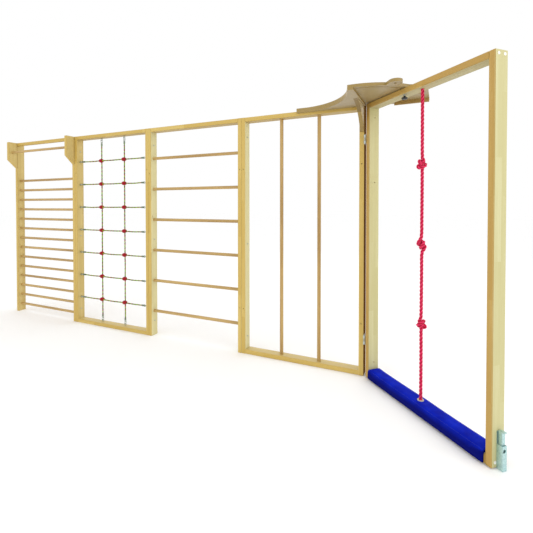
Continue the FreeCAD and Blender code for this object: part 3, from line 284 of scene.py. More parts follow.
colour.color_ramp.elements[1].position, colour.color_ramp.elements[1].color = 1.0, hue("#ff3a78")
# Painted shade: the red rope darkens to a deep red in the grooves between its strands.
shaded = add(tree, "ShaderNodeMix", {0: strand_groove_shade(tree), 6: colour.outputs[0], 7: hue("#b8062e")},
             data_type="RGBA")
height = add(tree, "ShaderNodeMath", {0: fuzz.outputs["Fac"], 1: 0.7, 2: ridge.outputs[0]},
             operation="MULTIPLY_ADD")
bump = add(tree, "ShaderNodeBump", {"Height": height.outputs[0], "Strength": 0.5, "Distance": 0.0006})
surface(tree, {"Base Color": shaded.outputs[2], "Roughness": 0.75, "Specular IOR Level": 0.3,
               "Sheen Weight": 0.08, "Normal": bump.outputs[0]})

rope_low, rope_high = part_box("climbing_rope")
rope_line = Vector(((rope_low.x + rope_high.x) / 2, (rope_low.y + rope_high.y) / 2, 0))
ROPE_WIDE = rope_high.x - rope_low.x
ROPE_STRAND = ROPE_WIDE * 0.26
ROPE_LAY, ROPE_STEP = 0.09, 0.004
# One overhand knot: right, towards the front and up from its middle, in mm.
KNOT = [(1, 0, -56), (4, -5, -40), (12, -15, -22), (-4, -8, -9), (-20, 13, 3), (-35, 13, 14), (-30, 3, 27),
        (-8, -9, 26), (14, -15, 15), (32, -7, 5), (32, 7, -5), (14, 15, -15), (-8, 9, -26), (-30, -3, -27),
        (-35, -13, -14), (-20, -13, -3), (-4, 8, 9), (12, 15, 22), (4, 5, 40), (1, 0, 56)]
KNOT_END = KNOT[-1][2]
# How each of the three knots is turned and leaned, in degrees, from the lowest up, how deep
# it is from front to back, and how far all are drawn in from side to side.
KNOT_TURNS = (192, 264, 12)
KNOT_LEANS = (0, -24, -4)
KNOT_DEEP = (1.0, 1.3, 1.0)
KNOT_TIGHT = 0.84
KNOT_TALL = 0.064
# The rope sways by a millimetre where it is this far above and below a knot, in metres.
KNOT_LEAD, SWAY = 0.18, 0.001
knot_low, knot_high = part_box("climbing_rope_knots")
knot_heights = [knot_low.z + KNOT_TALL / 2, (knot_low.z + knot_high.z) / 2, knot_high.z - KNOT_TALL / 2]
points = [rope_line + Vector((0, 0, rope_low.z))]
facing = Matrix.Rotation(EYE_TURN[2], 3, "Z")
for level, turn, lean, deep in zip(knot_heights, KNOT_TURNS, KNOT_LEANS, KNOT_DEEP):
    spin = Matrix.Rotation(math.radians(turn), 3, "Z")
    points.append(rope_line + Vector((SWAY, 0, level - KNOT_LEAD)))
    for right, front, up in KNOT:
        # A knot leans to one side at its middle and stays upright at its ends.
        tip = Matrix.Rotation(math.radians(lean) * (1 - (up / KNOT_END) ** 2), 3, "Y")
        held = facing @ tip @ spin @ Vector((right * KNOT_TIGHT, -front * deep, up))
        points.append(rope_line + held / 1000 + Vector((0, 0, level)))
    points.append(rope_line + Vector((0, SWAY, level + KNOT_LEAD)))
points.append(rope_line + Vector((0, 0, rope_high.z)))
route = route_of("climbing_rope_route", points)
line, length = line_of(route)
ROPE_SIZES = {"Strand Radius": ROPE_STRAND, "Strand Offset": ROPE_WIDE / 2 - ROPE_STRAND,
              "Lay Length": ROPE_LAY, "Step": ROPE_STEP}
climbing_rope = run_tree(route, twist, ROPE_SIZES, red_yarn, "red_rope")
bpy.data.objects.remove(route)
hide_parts("climbing_rope", "climbing_rope_knots")
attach(climbing_rope, "swing_frame")

# ---------------------------------------------------------------- net ropes
# Seven level ropes and two upright ones of 16 mm polypropylene, laid from yarn that is dyed
# lime green, red and near black by turns, and pulled tight between the frame's eye bolts.
NET_WIDE = 0.016
NET_STRAND = 0.0042
NET_LAY, NET_STEP = 0.064, 0.0045
NET_YARNS, NET_SLANT = 7, 40.0
marked_yarn, tree = new_finish("net_rope_lime_polypropylene")
ridge = yarn_ridges(tree, NET_YARNS, NET_SLANT)
run = add(tree, "ShaderNodeAttribute", attribute_name="run").outputs["Fac"]
strand = add(tree, "ShaderNodeAttribute", attribute_name="strand").outputs["Fac"]
# All three strands change colour together, each a little later than its neighbour, so the
# eye sees short bright bands. They are drawn longer than real, so that they show.
DYE_LONG = 0.052
DYE_LATER, DYE_UNEVEN = 0.1, 0.12
marks = add(tree, "ShaderNodeMath", {0: run, 1: 1 / DYE_LONG}, operation="MULTIPLY")
later = add(tree, "ShaderNodeMath", {0: strand, 1: DYE_LATER, 2: marks.outputs[0]}, operation="MULTIPLY_ADD")
stretch = add(tree, "ShaderNodeMath", {0: later.outputs[0]}, operation="FLOOR")
wander = add(tree, "ShaderNodeTexWhiteNoise", {"W": stretch.outputs[0]}, noise_dimensions="1D")
part = add(tree, "ShaderNodeMath", {0: later.outputs[0]}, operation="FRACT")
dye = add(tree, "ShaderNodeMath", {0: wander.outputs["Value"], 1: DYE_UNEVEN, 2: part.outputs[0]},
          operation="MULTIPLY_ADD")
colour = add(tree, "ShaderNodeValToRGB", {"Fac": dye.outputs[0]})
colour.color_ramp.interpolation = "CONSTANT"
DYES = ((0.0, "#a8e010"), (0.28, "#cdec38"), (0.44, "#cc0420"),
        (0.7, "#701818"), (0.8, "#1c2c2c"), (0.92, "#98d80c"))
for index, (start, code) in enumerate(DYES):
    stop = colour.color_ramp.elements[index] if index < 2 else colour.color_ramp.elements.new(start)
    stop.position, stop.color = start, hue(code)
# Painted shade: the net rope darkens to a dark olive in the grooves between its strands.
shaded = add(tree, "ShaderNodeMix", {0: strand_groove_shade(tree), 6: colour.outputs[0], 7: hue("#4a5026")},
             data_type="RGBA")
bump = add(tree, "ShaderNodeBump", {"Height": ridge.outputs[0], "Strength": 0.4, "Distance": 0.0005})
surface(tree, {"Base Color": shaded.outputs[2], "Roughness": 0.65, "Specular IOR Level": 0.3,
               "Normal": bump.outputs[0]})

columns = []
for index in (1, 2):
    low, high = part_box("net_rope_column_%d" % index)
    columns.append((low.x + high.x) / 2)
rows = []
for index in range(1, 8):
    low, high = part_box("net_rope_row_%d" % index)
    rows.append((low.z + high.z) / 2)
NET_SIZES = {"Strand Radius": NET_STRAND, "Strand Offset": NET_WIDE / 2 - NET_STRAND,
             "Lay Length": NET_LAY, "Step": NET_STEP}
# How far each free length of a row hangs below the line of its clamps, in mm.
SAGS = [(2, 5, 3), (4, 2, 6), (3, 6, 2), (1, 3, 5), (5, 2, 3), (2, 4, 6), (4, 3, 2)]
# The ropes are straight in their sleeves and where a clamp grips them, for these lengths.
SLEEVE_HOLD, SIDE_HOLD, HEAD_HOLD = 0.05, 0.035, 0.03
# Half a square below each clamp, a column bows to the side by its sag's difference from this.
MIDDLE_SAG, HALF_SQUARE = 3, 0.15


def net_rope(node, points):
    """Lays one rope of the net along its points, on the fixed frame."""
    route = route_of(node + "_route", points)
    line, length = line_of(route)
    rope = run_tree(route, twist, NET_SIZES, marked_yarn, node + "_laid")
    bpy.data.objects.remove(route)
    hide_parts(node)
    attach(rope, "wall")


for index, (level, sags) in enumerate(zip(rows, SAGS)):
    low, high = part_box("net_rope_row_%d" % (index + 1))
    deep = (low.y + high.y) / 2
    stops = [low.x, columns[0], columns[1], high.x]
    points = [(stops[0], deep, level), (stops[0] + SLEEVE_HOLD, deep, level)]
    for start, end, sag in zip(stops, stops[1:], sags):
        points.append(((start + end) / 2, deep, level - sag / 1000))
        if end != stops[-1]:
            points += [(end - SIDE_HOLD, deep, level), (end + SIDE_HOLD, deep, level)]
    points += [(stops[-1] - SLEEVE_HOLD, deep, level), (stops[-1], deep, level)]
    net_rope("net_rope_row_%d" % (index + 1), points)
for index, across in enumerate(columns):
    low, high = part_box("net_rope_column_%d" % (index + 1))
    deep = (low.y + high.y) / 2
    points = [(across, deep, low.z)]
    for number, level in enumerate(rows):
        shift = (SAGS[number][index] - MIDDLE_SAG) / 1000
        points += [(across + shift, deep, level - HALF_SQUARE), (across, deep, level - HEAD_HOLD),
                   (across, deep, level + HEAD_HOLD)]
    points += [(across, deep, high.z - HEAD_HOLD * 2), (across, deep, high.z)]
    net_rope("net_rope_column_%d" % (index + 1), points)

# ---------------------------------------------------------------- timber posts and beams
# Glued pine, planed and lacquered. Each board is made of narrow strips with finger joints,
# pale on its wide faces and a deeper gold on its narrow ones; long edges are rounded over.
STRIP_WIDE = 0.052
STRIP_LONG = 0.62
GLUE_LINE = 0.0002
RING_SPACE = 0.0075
# A wave pattern at scale 1 repeats after this length.
WAVE_LONG = 0.314
# Rings and fibres are long: a metre along the grain crosses this many metres of pattern.
GRAIN_STRETCH = 0.05
# Fibres are drawn coarser than real, to show; clouds are the slow changes of tone.
FIBRE_PER_M, CLOUD_PER_M = 420, 14
# Knots lie in cells, this many to a metre along the grain and across it.
KNOT_CELLS = (2.3, 9.0, 1.0)


def pine_finish(name, upright, turn, wide, narrow, rough=0.34, shine=0.33, coat=0.09):
    """Pine whose grain runs up or along, on boards turned by an angle about Z, lacquered."""
    finish, tree = new_finish(name)
    place = add(tree, "ShaderNodeTexCoord").outputs["Object"]
    level = add(tree, "ShaderNodeMapping", {"Vector": place, "Rotation": (0, 0, turn)})
    axes = add(tree, "ShaderNodeSeparateXYZ", {0: level.outputs[0]}).outputs
    along = axes["Z"] if upright else axes["X"]
    first, second = (axes["X"], axes["Y"]) if upright else (axes["Y"], axes["Z"])
    across = add(tree, "ShaderNodeMath", {0: first, 1: second}, operation="ADD").outputs[0]
    flat = add(tree, "ShaderNodeCombineXYZ", {0: along, 1: across}).outputs[0]
    strips = add(tree, "ShaderNodeTexBrick",
                 {"Vector": flat, "Color1": (0, 0, 0, 1), "Color2": (1, 1, 1, 1),
                  "Mortar": (0.5, 0.5, 0.5, 1), "Scale": 1.0, "Mortar Size": GLUE_LINE,
                  "Brick Width": STRIP_LONG, "Row Height": STRIP_WIDE}, offset=0.37)
    strip_tone = strips.outputs["Color"]
    # The rings are drawn out along the grain, and each strip starts at its own place in them.
    drawn = add(tree, "ShaderNodeMath", {0: along, 1: GRAIN_STRETCH}, operation="MULTIPLY").outputs[0]
    jump = add(tree, "ShaderNodeMath", {0: strip_tone, 1: 0.7, 2: across},
               operation="MULTIPLY_ADD").outputs[0]
    grain_place = add(tree, "ShaderNodeCombineXYZ", {0: drawn, 1: jump, 2: strip_tone}).outputs[0]
    rings = add(tree, "ShaderNodeTexWave",
                {"Vector": grain_place, "Scale": WAVE_LONG / RING_SPACE, "Distortion": 7.0, "Detail": 3.0,
                 "Detail Scale": 0.8}, wave_type="BANDS", bands_direction="Y", wave_profile="SAW")
    fibre = add(tree, "ShaderNodeTexNoise",
                {"Vector": grain_place, "Scale": FIBRE_PER_M, "Detail": 4.0})
    cloud = add(tree, "ShaderNodeTexNoise",
                {"Vector": grain_place, "Scale": CLOUD_PER_M, "Detail": 2.0})
    streak = add(tree, "ShaderNodeMath", {0: rings.outputs["Fac"], 1: 0.55, 2: cloud.outputs["Fac"]},
                 operation="MULTIPLY_ADD").outputs[0]
    depth = add(tree, "ShaderNodeMath", {0: fibre.outputs["Fac"], 1: 0.25, 2: streak},
                operation="MULTIPLY_ADD").outputs[0]
    toned = add(tree, "ShaderNodeMath", {0: strip_tone, 1: 0.22, 2: depth},
                operation="MULTIPLY_ADD").outputs[0]
    ramps = []
    for light, dark in (wide, narrow):
        ramp = add(tree, "ShaderNodeValToRGB", {"Fac": toned})
        ramp.color_ramp.elements[0].position, ramp.color_ramp.elements[0].color = 0.35, hue(light)
        ramp.color_ramp.elements[1].position, ramp.color_ramp.elements[1].color = 1.35, hue(dark)
        ramps.append(ramp.outputs[0])
    face = add(tree, "ShaderNodeAttribute", attribute_name="narrow_face").outputs["Fac"]
    blend = add(tree, "ShaderNodeMix", {0: face, 6: ramps[0], 7: ramps[1]}, data_type="RGBA").outputs[2]
    # Painted shade: faces marked for it are darkened towards brown, and are also made rougher.
    shade_mask = add(tree, "ShaderNodeAttribute", attribute_name="painted_shade_face").outputs["Fac"]
    blend = add(tree, "ShaderNodeMix", {0: shade_mask, 6: blend, 7: hue("#7a5632")}, data_type="RGBA").outputs[2]
    # Small dark knots, long along the grain, one or two to a board.
    knot_place = add(tree, "ShaderNodeMapping", {"Vector": flat, "Scale": KNOT_CELLS}).outputs[0]
    knots = add(tree, "ShaderNodeTexVoronoi", {"Vector": knot_place, "Scale": 1.0, "Randomness": 1.0})
    spot = add(tree, "ShaderNodeMapRange", {"Value": knots.outputs["Distance"], "From Min": 0.012,
                                            "From Max": 0.055, "To Min": 0.75, "To Max": 0.0}).outputs[0]
    stained = add(tree, "ShaderNodeMix", {0: spot, 6: blend, 7: hue("#8a5a2c")}, data_type="RGBA").outputs[2]
    gloss = add(tree, "ShaderNodeMath", {0: fibre.outputs["Fac"], 1: 0.18, 2: rough},
                operation="MULTIPLY_ADD").outputs[0]
    gloss = add(tree, "ShaderNodeMath", {0: shade_mask, 1: 0.5, 2: gloss}, operation="MULTIPLY_ADD").outputs[0]
    bump = add(tree, "ShaderNodeBump", {"Height": toned, "Strength": 0.25, "Distance": 0.0006})
    surface(tree, {"Base Color": stained, "Roughness": gloss, "Specular IOR Level": shine,
                   "Coat Weight": coat, "Coat Roughness": 0.3, "Normal": bump.outputs[0]})
    return finish


# Each pair of colours is the early and the late wood of a growth ring.
WIDE = ("#e2cf92", "#c6ad68")
NARROW = ("#e6cf82", "#c8a956")
PALE_WIDE = ("#ebe3b2", "#cfc590")
SWING_WIDE = ("#dcd9ae", "#c2ba84")
SWING_NARROW = ("#dcbf76", "#b9944a")
# Painted shade for the faces inside the hinge gap.
GAP_SHADE = ("#7e5934", "#735030")
pine = {
    ("up", "wall"): pine_finish("pine_upright_lacquered", True, 0.0, WIDE, NARROW),
    ("level", "wall"): pine_finish("pine_level_lacquered", False, 0.0, WIDE, NARROW),
    ("up", "pale"): pine_finish("pine_upright_pale_lacquered", True, 0.0, PALE_WIDE, NARROW),
    ("up", "swing"): pine_finish("pine_upright_lacquered_swing", True, DOOR_TURN, SWING_WIDE, SWING_NARROW),
    ("level", "swing"): pine_finish("pine_level_lacquered_swing", False, DOOR_TURN, SWING_WIDE, SWING_NARROW),
}
# The two faces inside the hinge gap are painted dark brown as painted shade, with a rough finish and no coat
# and no shine.
gap_shade_pine = pine_finish("pine_upright_painted_gap_shade", True, 0.0, GAP_SHADE, GAP_SHADE, rough=0.84, shine=0.0, coat=0.0)
EDGE_ROUND, ROUND_STEPS = 0.0035, 3
# Corners closer than this are one; shorter or blunter edges than these stay as they are.
SAME_PLACE = 0.00002
SHORT_EDGE, BLUNT_EDGE = 0.03, math.radians(30)
# How much painted shade, a brown, the undersides of the beams take.
BEAM_SHADE = 0.34
UP = Vector((0, 0, 1))
ACROSS = Vector((1, 0, 0))


def planed(node, body_name, run_way, wide_way, finish, rims=False, shaded_gap_way=None):
    """A copy of a CAD board with its long edges rounded and its narrow faces marked."""
    work = bmesh.new()
    work.from_mesh(nodes[node].data)
    bmesh.ops.remove_doubles(work, verts=work.verts, dist=SAME_PLACE)
    bmesh.ops.dissolve_limit(work, angle_limit=math.radians(0.5), verts=work.verts, edges=work.edges)
    sharp = []
    for edge in work.edges:
        if len(edge.link_faces) != 2 or edge.calc_length() < SHORT_EDGE:
            continue
        if edge.calc_face_angle(0) < BLUNT_EDGE:
            continue
        way = (edge.verts[0].co - edge.verts[1].co).normalized()
        if shaded_gap_way and any(face.normal.dot(shaded_gap_way) > 0.9 for face in edge.link_faces):
            continue
        if abs(way.dot(run_way)) > 0.99 or rims:
            sharp.append(edge)
    bmesh.ops.bevel(work, geom=sharp, offset=EDGE_ROUND, segments=ROUND_STEPS, affect="EDGES",
                    clamp_overlap=True)
    bmesh.ops.triangulate(work, faces=[face for face in work.faces if len(face.verts) > 4])
    mesh = bpy.data.meshes.new(node + "_planed")
    work.normal_update()
    narrow = work.faces.layers.float.new("narrow_face")
    shade_layer = work.faces.layers.float.new("painted_shade_face")
    for face in work.faces:
        face[narrow] = 0.0 if abs(face.normal.dot(wide_way)) > 0.8 else 1.0
        # Faces that look down are marked for painted shade.
        face[shade_layer] = BEAM_SHADE if face.normal.z < -0.8 else 0.0
        face.smooth = False
    work.to_mesh(mesh)
    work.free()
    board = piece_from(node + "_planed", mesh, finish)
    # Faces towards the hinge gap take the dark pine of painted shade.
    if shaded_gap_way:
        mesh.materials.append(gap_shade_pine)
        for polygon in mesh.polygons:
            polygon.material_index = int(polygon.normal.dot(shaded_gap_way) > 0.9)
    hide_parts(node)
    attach(board, body_name)


for name in ("wall_bar", "net", "ladder", "pole"):
    for side in ("left", "right"):
        shaded_gap_way = ACROSS if (name, side) == ("pole", "right") else None
        finish = pine["up", "pale" if name in ("ladder", "pole") else "wall"]
        planed("%s_post_%s" % (name, side), "wall", UP, ACROSS, finish, shaded_gap_way=shaded_gap_way)
for name in ("wall_bar_top_rail", "net_top_beam", "net_bottom_beam", "ladder_top_beam", "pole_top_beam",
             "pole_bottom_beam"):
    planed(name, "wall", ACROSS, UP, pine["level", "wall"])
for name in ("wall_bar_bracket_left", "wall_bar_bracket_right"):
    planed(name, "wall", UP, ACROSS, pine["up", "wall"], rims=True)
planed("swing_hinge_post", "swing_frame", UP, ALONG_DOOR, pine["up", "swing"], shaded_gap_way=-ALONG_DOOR)
planed("swing_outer_post", "swing_frame", UP, ALONG_DOOR, pine["up", "swing"])
for name in ("swing_top_beam", "swing_bottom_beam"):
    planed(name, "swing_frame", ALONG_DOOR, UP, pine["level", "swing"])


def give(finish, *names):
    """Gives CAD nodes a finish in every material slot."""
    for name in names:
        mesh = nodes[name].data
        if not mesh.materials:
            mesh.materials.append(finish)
        for index in range(len(mesh.materials)):
            mesh.materials[index] = finish


# ---------------------------------------------------------------- rungs, bars and poles
# Turned beech rods, let into the frames and lacquered. Beech is even and reddish, with
# short dark flecks along the grain.
FLECK_PER_M, TINT_PER_M = 300, 26
FLECK_STRETCH = 0.04


def beech_finish(name, scale):
    """Lacquered beech: flecks drawn out along the grain, and a soft shine."""
    finish, tree = new_finish(name)
    place = add(tree, "ShaderNodeTexCoord").outputs["Object"]
    drawn = add(tree, "ShaderNodeMapping", {"Vector": place, "Scale": scale}).outputs[0]
    fleck = add(tree, "ShaderNodeTexNoise", {"Vector": drawn, "Scale": FLECK_PER_M, "Detail": 3.0})
    cloud = add(tree, "ShaderNodeTexNoise", {"Vector": drawn, "Scale": TINT_PER_M, "Detail": 2.0})
    tone = add(tree, "ShaderNodeMath", {0: fleck.outputs["Fac"], 1: 0.6, 2: cloud.outputs["Fac"]},
               operation="MULTIPLY_ADD")
    colour = add(tree, "ShaderNodeValToRGB", {"Fac": tone.outputs[0]})
    colour.color_ramp.elements[0].position, colour.color_ramp.elements[0].color = 0.55, hue("#c9a864")
    colour.color_ramp.elements[1].position, colour.color_ramp.elements[1].color = 1.0, hue("#a07c40")
    bump = add(tree, "ShaderNodeBump", {"Height": fleck.outputs["Fac"], "Strength": 0.2, "Distance": 0.0004})
    surface(tree, {"Base Color": colour.outputs[0], "Roughness": 0.42, "Coat Weight": 0.3,
                   "Coat Roughness": 0.25, "Normal": bump.outputs[0]})
    return finish


beech_level = beech_finish("beech_level_lacquered", (FLECK_STRETCH, 1, 1))
beech_upright = beech_finish("beech_upright_lacquered", (1, 1, FLECK_STRETCH))
give(beech_level, "wall_bar_rungs", "pull_up_bar", "ladder_rungs", "frame_dowels")
give(beech_upright, "climbing_poles")

# ---------------------------------------------------------------- deck
# Two birch plywood boards screwed one under the other, with a batten and a curved gusset.
# The veneer is pale; the sawn edges show brown plies, drawn thicker than real to show.
VENEER_RING, VENEER_STRETCH = WAVE_LONG / 22, 0.06
VENEER_FIBRE_PER_M = 380
PLY_THICK = 0.003
ply, tree = new_finish("birch_plywood_lacquered")
place = add(tree, "ShaderNodeTexCoord").outputs["Object"]
axes = add(tree, "ShaderNodeSeparateXYZ", {0: place}).outputs
drawn = add(tree, "ShaderNodeMapping", {"Vector": place, "Scale": (VENEER_STRETCH, 1, 1)}).outputs[0]
veneer = add(tree, "ShaderNodeTexWave",
             {"Vector": drawn, "Scale": WAVE_LONG / VENEER_RING, "Distortion": 9.0, "Detail": 3.0,
              "Detail Scale": 0.7}, wave_type="BANDS", bands_direction="Y")
fibre = add(tree, "ShaderNodeTexNoise", {"Vector": drawn, "Scale": VENEER_FIBRE_PER_M, "Detail": 3.0})
tone = add(tree, "ShaderNodeMath", {0: fibre.outputs["Fac"], 1: 0.5, 2: veneer.outputs["Fac"]},
           operation="MULTIPLY_ADD")
face = add(tree, "ShaderNodeValToRGB", {"Fac": tone.outputs[0]})
face.color_ramp.elements[0].position, face.color_ramp.elements[0].color = 0.1, hue("#ddcda0")
face.color_ramp.elements[1].position, face.color_ramp.elements[1].color = 1.4, hue("#c4ae7c")
plies = add(tree, "ShaderNodeMath", {0: axes["Z"], 1: math.tau / PLY_THICK / 2}, operation="MULTIPLY")
layers = add(tree, "ShaderNodeMath", {0: plies.outputs[0]}, operation="SINE")
edge = add(tree, "ShaderNodeValToRGB", {"Fac": layers.outputs[0]})
edge.color_ramp.elements[0].position, edge.color_ramp.elements[0].color = 0.2, hue("#a68c4c")
edge.color_ramp.elements[1].position, edge.color_ramp.elements[1].color = 0.9, hue("#7c6432")
sawn = add(tree, "ShaderNodeAttribute", attribute_name="narrow_face").outputs["Fac"]
blend = add(tree, "ShaderNodeMix", {0: sawn, 6: face.outputs[0], 7: edge.outputs[0]},
            data_type="RGBA").outputs[2]
# Painted shade: the boards' undersides and the batten are darkened towards brown.
shade_mask = add(tree, "ShaderNodeAttribute", attribute_name="painted_shade_face").outputs["Fac"]
blend = add(tree, "ShaderNodeMix", {0: shade_mask, 6: blend, 7: hue("#6a5428")}, data_type="RGBA").outputs[2]
bump = add(tree, "ShaderNodeBump", {"Height": tone.outputs[0], "Strength": 0.15, "Distance": 0.0004})
surface(tree, {"Base Color": blend, "Roughness": 0.48, "Coat Weight": 0.15, "Normal": bump.outputs[0]})
# How much painted shade, a brown, the boards' undersides and the batten take.
DECK_SHADE = 0.6


def sawn_board(node, finish, wide_way, shade=0.0):
    """A copy of a CAD board cut on a curve, with its edges and the faces that take painted shade marked."""
    work = bmesh.new()
    work.from_mesh(nodes[node].data)
    bmesh.ops.remove_doubles(work, verts=work.verts, dist=SAME_PLACE)
    work.normal_update()
    narrow = work.faces.layers.float.new("narrow_face")
    shade_layer = work.faces.layers.float.new("painted_shade_face")
    for face in work.faces:
        face[narrow] = 0.0 if abs(face.normal.dot(wide_way)) > 0.8 else 1.0
        # Undersides, and every face of a board given a shade, are marked for painted shade.
        face[shade_layer] = DECK_SHADE if face.normal.z < -0.8 else shade
        face.smooth = False
    mesh = bpy.data.meshes.new(node + "_sawn")
    work.to_mesh(mesh)
    work.free()
    board = piece_from(node + "_sawn", mesh, finish)
    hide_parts(node)
    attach(board, "wall")


sawn_board("deck_upper_board", ply, UP)
sawn_board("deck_lower_board", ply, UP)
sawn_board("deck_gusset", ply, ACROSS)
# The batten takes painted shade on every face.
sawn_board("deck_batten", pine["level", "wall"], UP, shade=DECK_SHADE)

# ---------------------------------------------------------------- net clamps and fittings
# Moulded clamps of glossy red nylon hold the ropes where they cross. Rope ends sit in dark
# sleeves with steel eyes, and closed links join them to the eye bolts.
MOTTLE_PER_M = 160
red_nylon, tree = new_finish("clamp_red_moulded_nylon")
place = add(tree, "ShaderNodeTexCoord").outputs["Object"]
mottle = add(tree, "ShaderNodeTexNoise", {"Vector": place, "Scale": MOTTLE_PER_M, "Detail": 2.0})
colour = add(tree, "ShaderNodeValToRGB", {"Fac": mottle.outputs["Fac"]})
colour.color_ramp.elements[0].position, colour.color_ramp.elements[0].color = 0.3, hue("#8c0014")
colour.color_ramp.elements[1].position, colour.color_ramp.elements[1].color = 0.8, hue("#ac041a")
bump = add(tree, "ShaderNodeBump", {"Height": mottle.outputs["Fac"], "Strength": 0.1, "Distance": 0.0003})
surface(tree, {"Base Color": colour.outputs[0], "Roughness": 0.28, "Specular IOR Level": 0.22,
               "Normal": bump.outputs[0]})
give(red_nylon, "net_clamps")
# Fine scratches soften the zinc's shine. They are drawn wider than real, to show.
SCRATCH_PER_M = 500


def metal_finish(name, light, dark, rough, spangle_mm):
    """Zinc on steel: crystals of slightly different greys, and a soft shine."""
    finish, tree = new_finish(name)
    place = add(tree, "ShaderNodeTexCoord").outputs["Object"]
    crystals = add(tree, "ShaderNodeTexVoronoi", {"Vector": place, "Scale": 1000 / spangle_mm})
    scratch = add(tree, "ShaderNodeTexNoise", {"Vector": place, "Scale": SCRATCH_PER_M, "Detail": 3.0})
    pick = add(tree, "ShaderNodeSeparateColor", {0: crystals.outputs["Color"]}).outputs[0]
    tint = add(tree, "ShaderNodeMix", {0: pick, 6: hue(light), 7: hue(dark)}, data_type="RGBA").outputs[2]
    gloss = add(tree, "ShaderNodeMath", {0: scratch.outputs["Fac"], 1: 0.2, 2: rough},
                operation="MULTIPLY_ADD").outputs[0]
    bump = add(tree, "ShaderNodeBump",
               {"Height": scratch.outputs["Fac"], "Strength": 0.1, "Distance": 0.0003})
    surface(tree, {"Base Color": tint, "Metallic": 0.9, "Roughness": gloss, "Normal": bump.outputs[0]})
    return finish


# Plated steel is light grey and the brightest of the three; the galvanised latch is a cold,
# bluish white; green passivated steel is dull and dark. Their crystals are drawn large.
zinc = metal_finish("steel_zinc_plated", "#c6ccc9", "#aab2b0", 0.28, 4)
galvanised = metal_finish("steel_galvanised", "#c8e4e2", "#a6c8ca", 0.34, 5)
green_zinc = metal_finish("steel_zinc_green_passivated", "#8a9a80", "#66745f", 0.36, 5)
give(zinc, "net_links", "joining_bolts", "joining_nuts", "deck_screws", "hinge_fixed_leaves", "hinge_pins",
     "hinge_fixed_screws", "hinge_swing_leaves", "swing_screws", "swing_frame_bolts", "lock_pin")
give(green_zinc, "net_ferrules", "net_eye_bolts")
give(galvanised, "latch_housing", "latch_bolt")

# ---------------------------------------------------------------- knob and caps
# The lock pin's knob is black moulded nylon with a fine grain; the caps over the frame
# bolts are white polyethylene, and the eyelet under the rope is cream nylon.
UNEVEN_PER_M = 30


def moulded(name, light, dark, rough, grain_mm):
    """A moulded plastic: one colour, slightly uneven, with a fine grain that softens its shine."""
    finish, tree = new_finish(name)
    place = add(tree, "ShaderNodeTexCoord").outputs["Object"]
    grain = add(tree, "ShaderNodeTexNoise", {"Vector": place, "Scale": 1000 / grain_mm, "Detail": 2.0})
    soft = add(tree, "ShaderNodeTexNoise", {"Vector": place, "Scale": UNEVEN_PER_M})
    tint = add(tree, "ShaderNodeMix", {0: soft.outputs["Fac"], 6: hue(light), 7: hue(dark)}, data_type="RGBA")
    bump = add(tree, "ShaderNodeBump", {"Height": grain.outputs["Fac"], "Strength": 0.3, "Distance": 0.0003})
    surface(tree, {"Base Color": tint.outputs[2], "Roughness": rough, "Normal": bump.outputs[0]})
    return finish


black_nylon = moulded("knob_black_moulded_nylon", "#16181a", "#0a0b0c", 0.42, 0.8)
white_cap = moulded("cap_white_polyethylene", "#f4f2ea", "#e2dfd4", 0.45, 1.2)
give(black_nylon, "lock_knob")
give(white_cap, "swing_post_caps")
eyelet = moulded("eyelet_cream_nylon", "#d6cdb6", "#b8ad92", 0.4, 1.2)
give(eyelet, "rope_grommet")

# ---------------------------------------------------------------- sill pad
# A foam pad in a cover of matt blue coated cloth, folded over the sill of the swinging
# frame like a saddle and sewn shut at its ends.
blue_cloth, tree = new_finish("pad_blue_coated_cloth")
place = add(tree, "ShaderNodeTexCoord").outputs["Object"]
level = add(tree, "ShaderNodeMapping", {"Vector": place, "Rotation": (0, 0, DOOR_TURN)}).outputs[0]
axes = add(tree, "ShaderNodeSeparateXYZ", {0: level}).outputs
# The weave's real threads are half a millimetre apart, and are drawn coarser to show.
THREAD, WEAR_PER_M = 0.0022, 11
fall = add(tree, "ShaderNodeMath", {0: axes["Y"], 1: axes["Z"]}, operation="ADD").outputs[0]
weaves = []
for way in (axes["X"], fall):
    scaled = add(tree, "ShaderNodeMath", {0: way, 1: math.tau / THREAD}, operation="MULTIPLY").outputs[0]
    weaves.append(add(tree, "ShaderNodeMath", {0: scaled}, operation="SINE").outputs[0])
weave = add(tree, "ShaderNodeMath", {0: weaves[0], 1: weaves[1]}, operation="MULTIPLY").outputs[0]
wear = add(tree, "ShaderNodeTexNoise", {"Vector": place, "Scale": WEAR_PER_M, "Detail": 4.0})
colour = add(tree, "ShaderNodeValToRGB", {"Fac": wear.outputs["Fac"]})
colour.color_ramp.elements[0].position, colour.color_ramp.elements[0].color = 0.3, hue("#0618a0")
colour.color_ramp.elements[1].position, colour.color_ramp.elements[1].color = 0.75, hue("#0c28c4")
# Painted shade: the sides of the cover are a darker navy than its top, as if lit from above.
normal = add(tree, "ShaderNodeNewGeometry").outputs["Normal"]
facing = add(tree, "ShaderNodeSeparateXYZ", {0: normal}).outputs["Z"]
side_shade = add(tree, "ShaderNodeMapRange",
          {"Value": facing, "From Min": 0.15, "From Max": 0.85, "To Min": 1.0, "To Max": 0.0},
          interpolation_type="SMOOTHSTEP")
deep = add(tree, "ShaderNodeMix", {0: side_shade.outputs[0], 6: colour.outputs[0], 7: hue("#020a6c")},
           data_type="RGBA")
bump = add(tree, "ShaderNodeBump", {"Height": weave, "Strength": 0.35, "Distance": 0.0004})
surface(tree, {"Base Color": deep.outputs[2], "Roughness": 0.75, "Specular IOR Level": 0.06,
               "Normal": bump.outputs[0]})

hinge_place = next(joint for joint in frame["joints"] if joint["name"] == "frame_swing")["pos_m"]
hinge = Vector((hinge_place[0], hinge_place[1], 0))


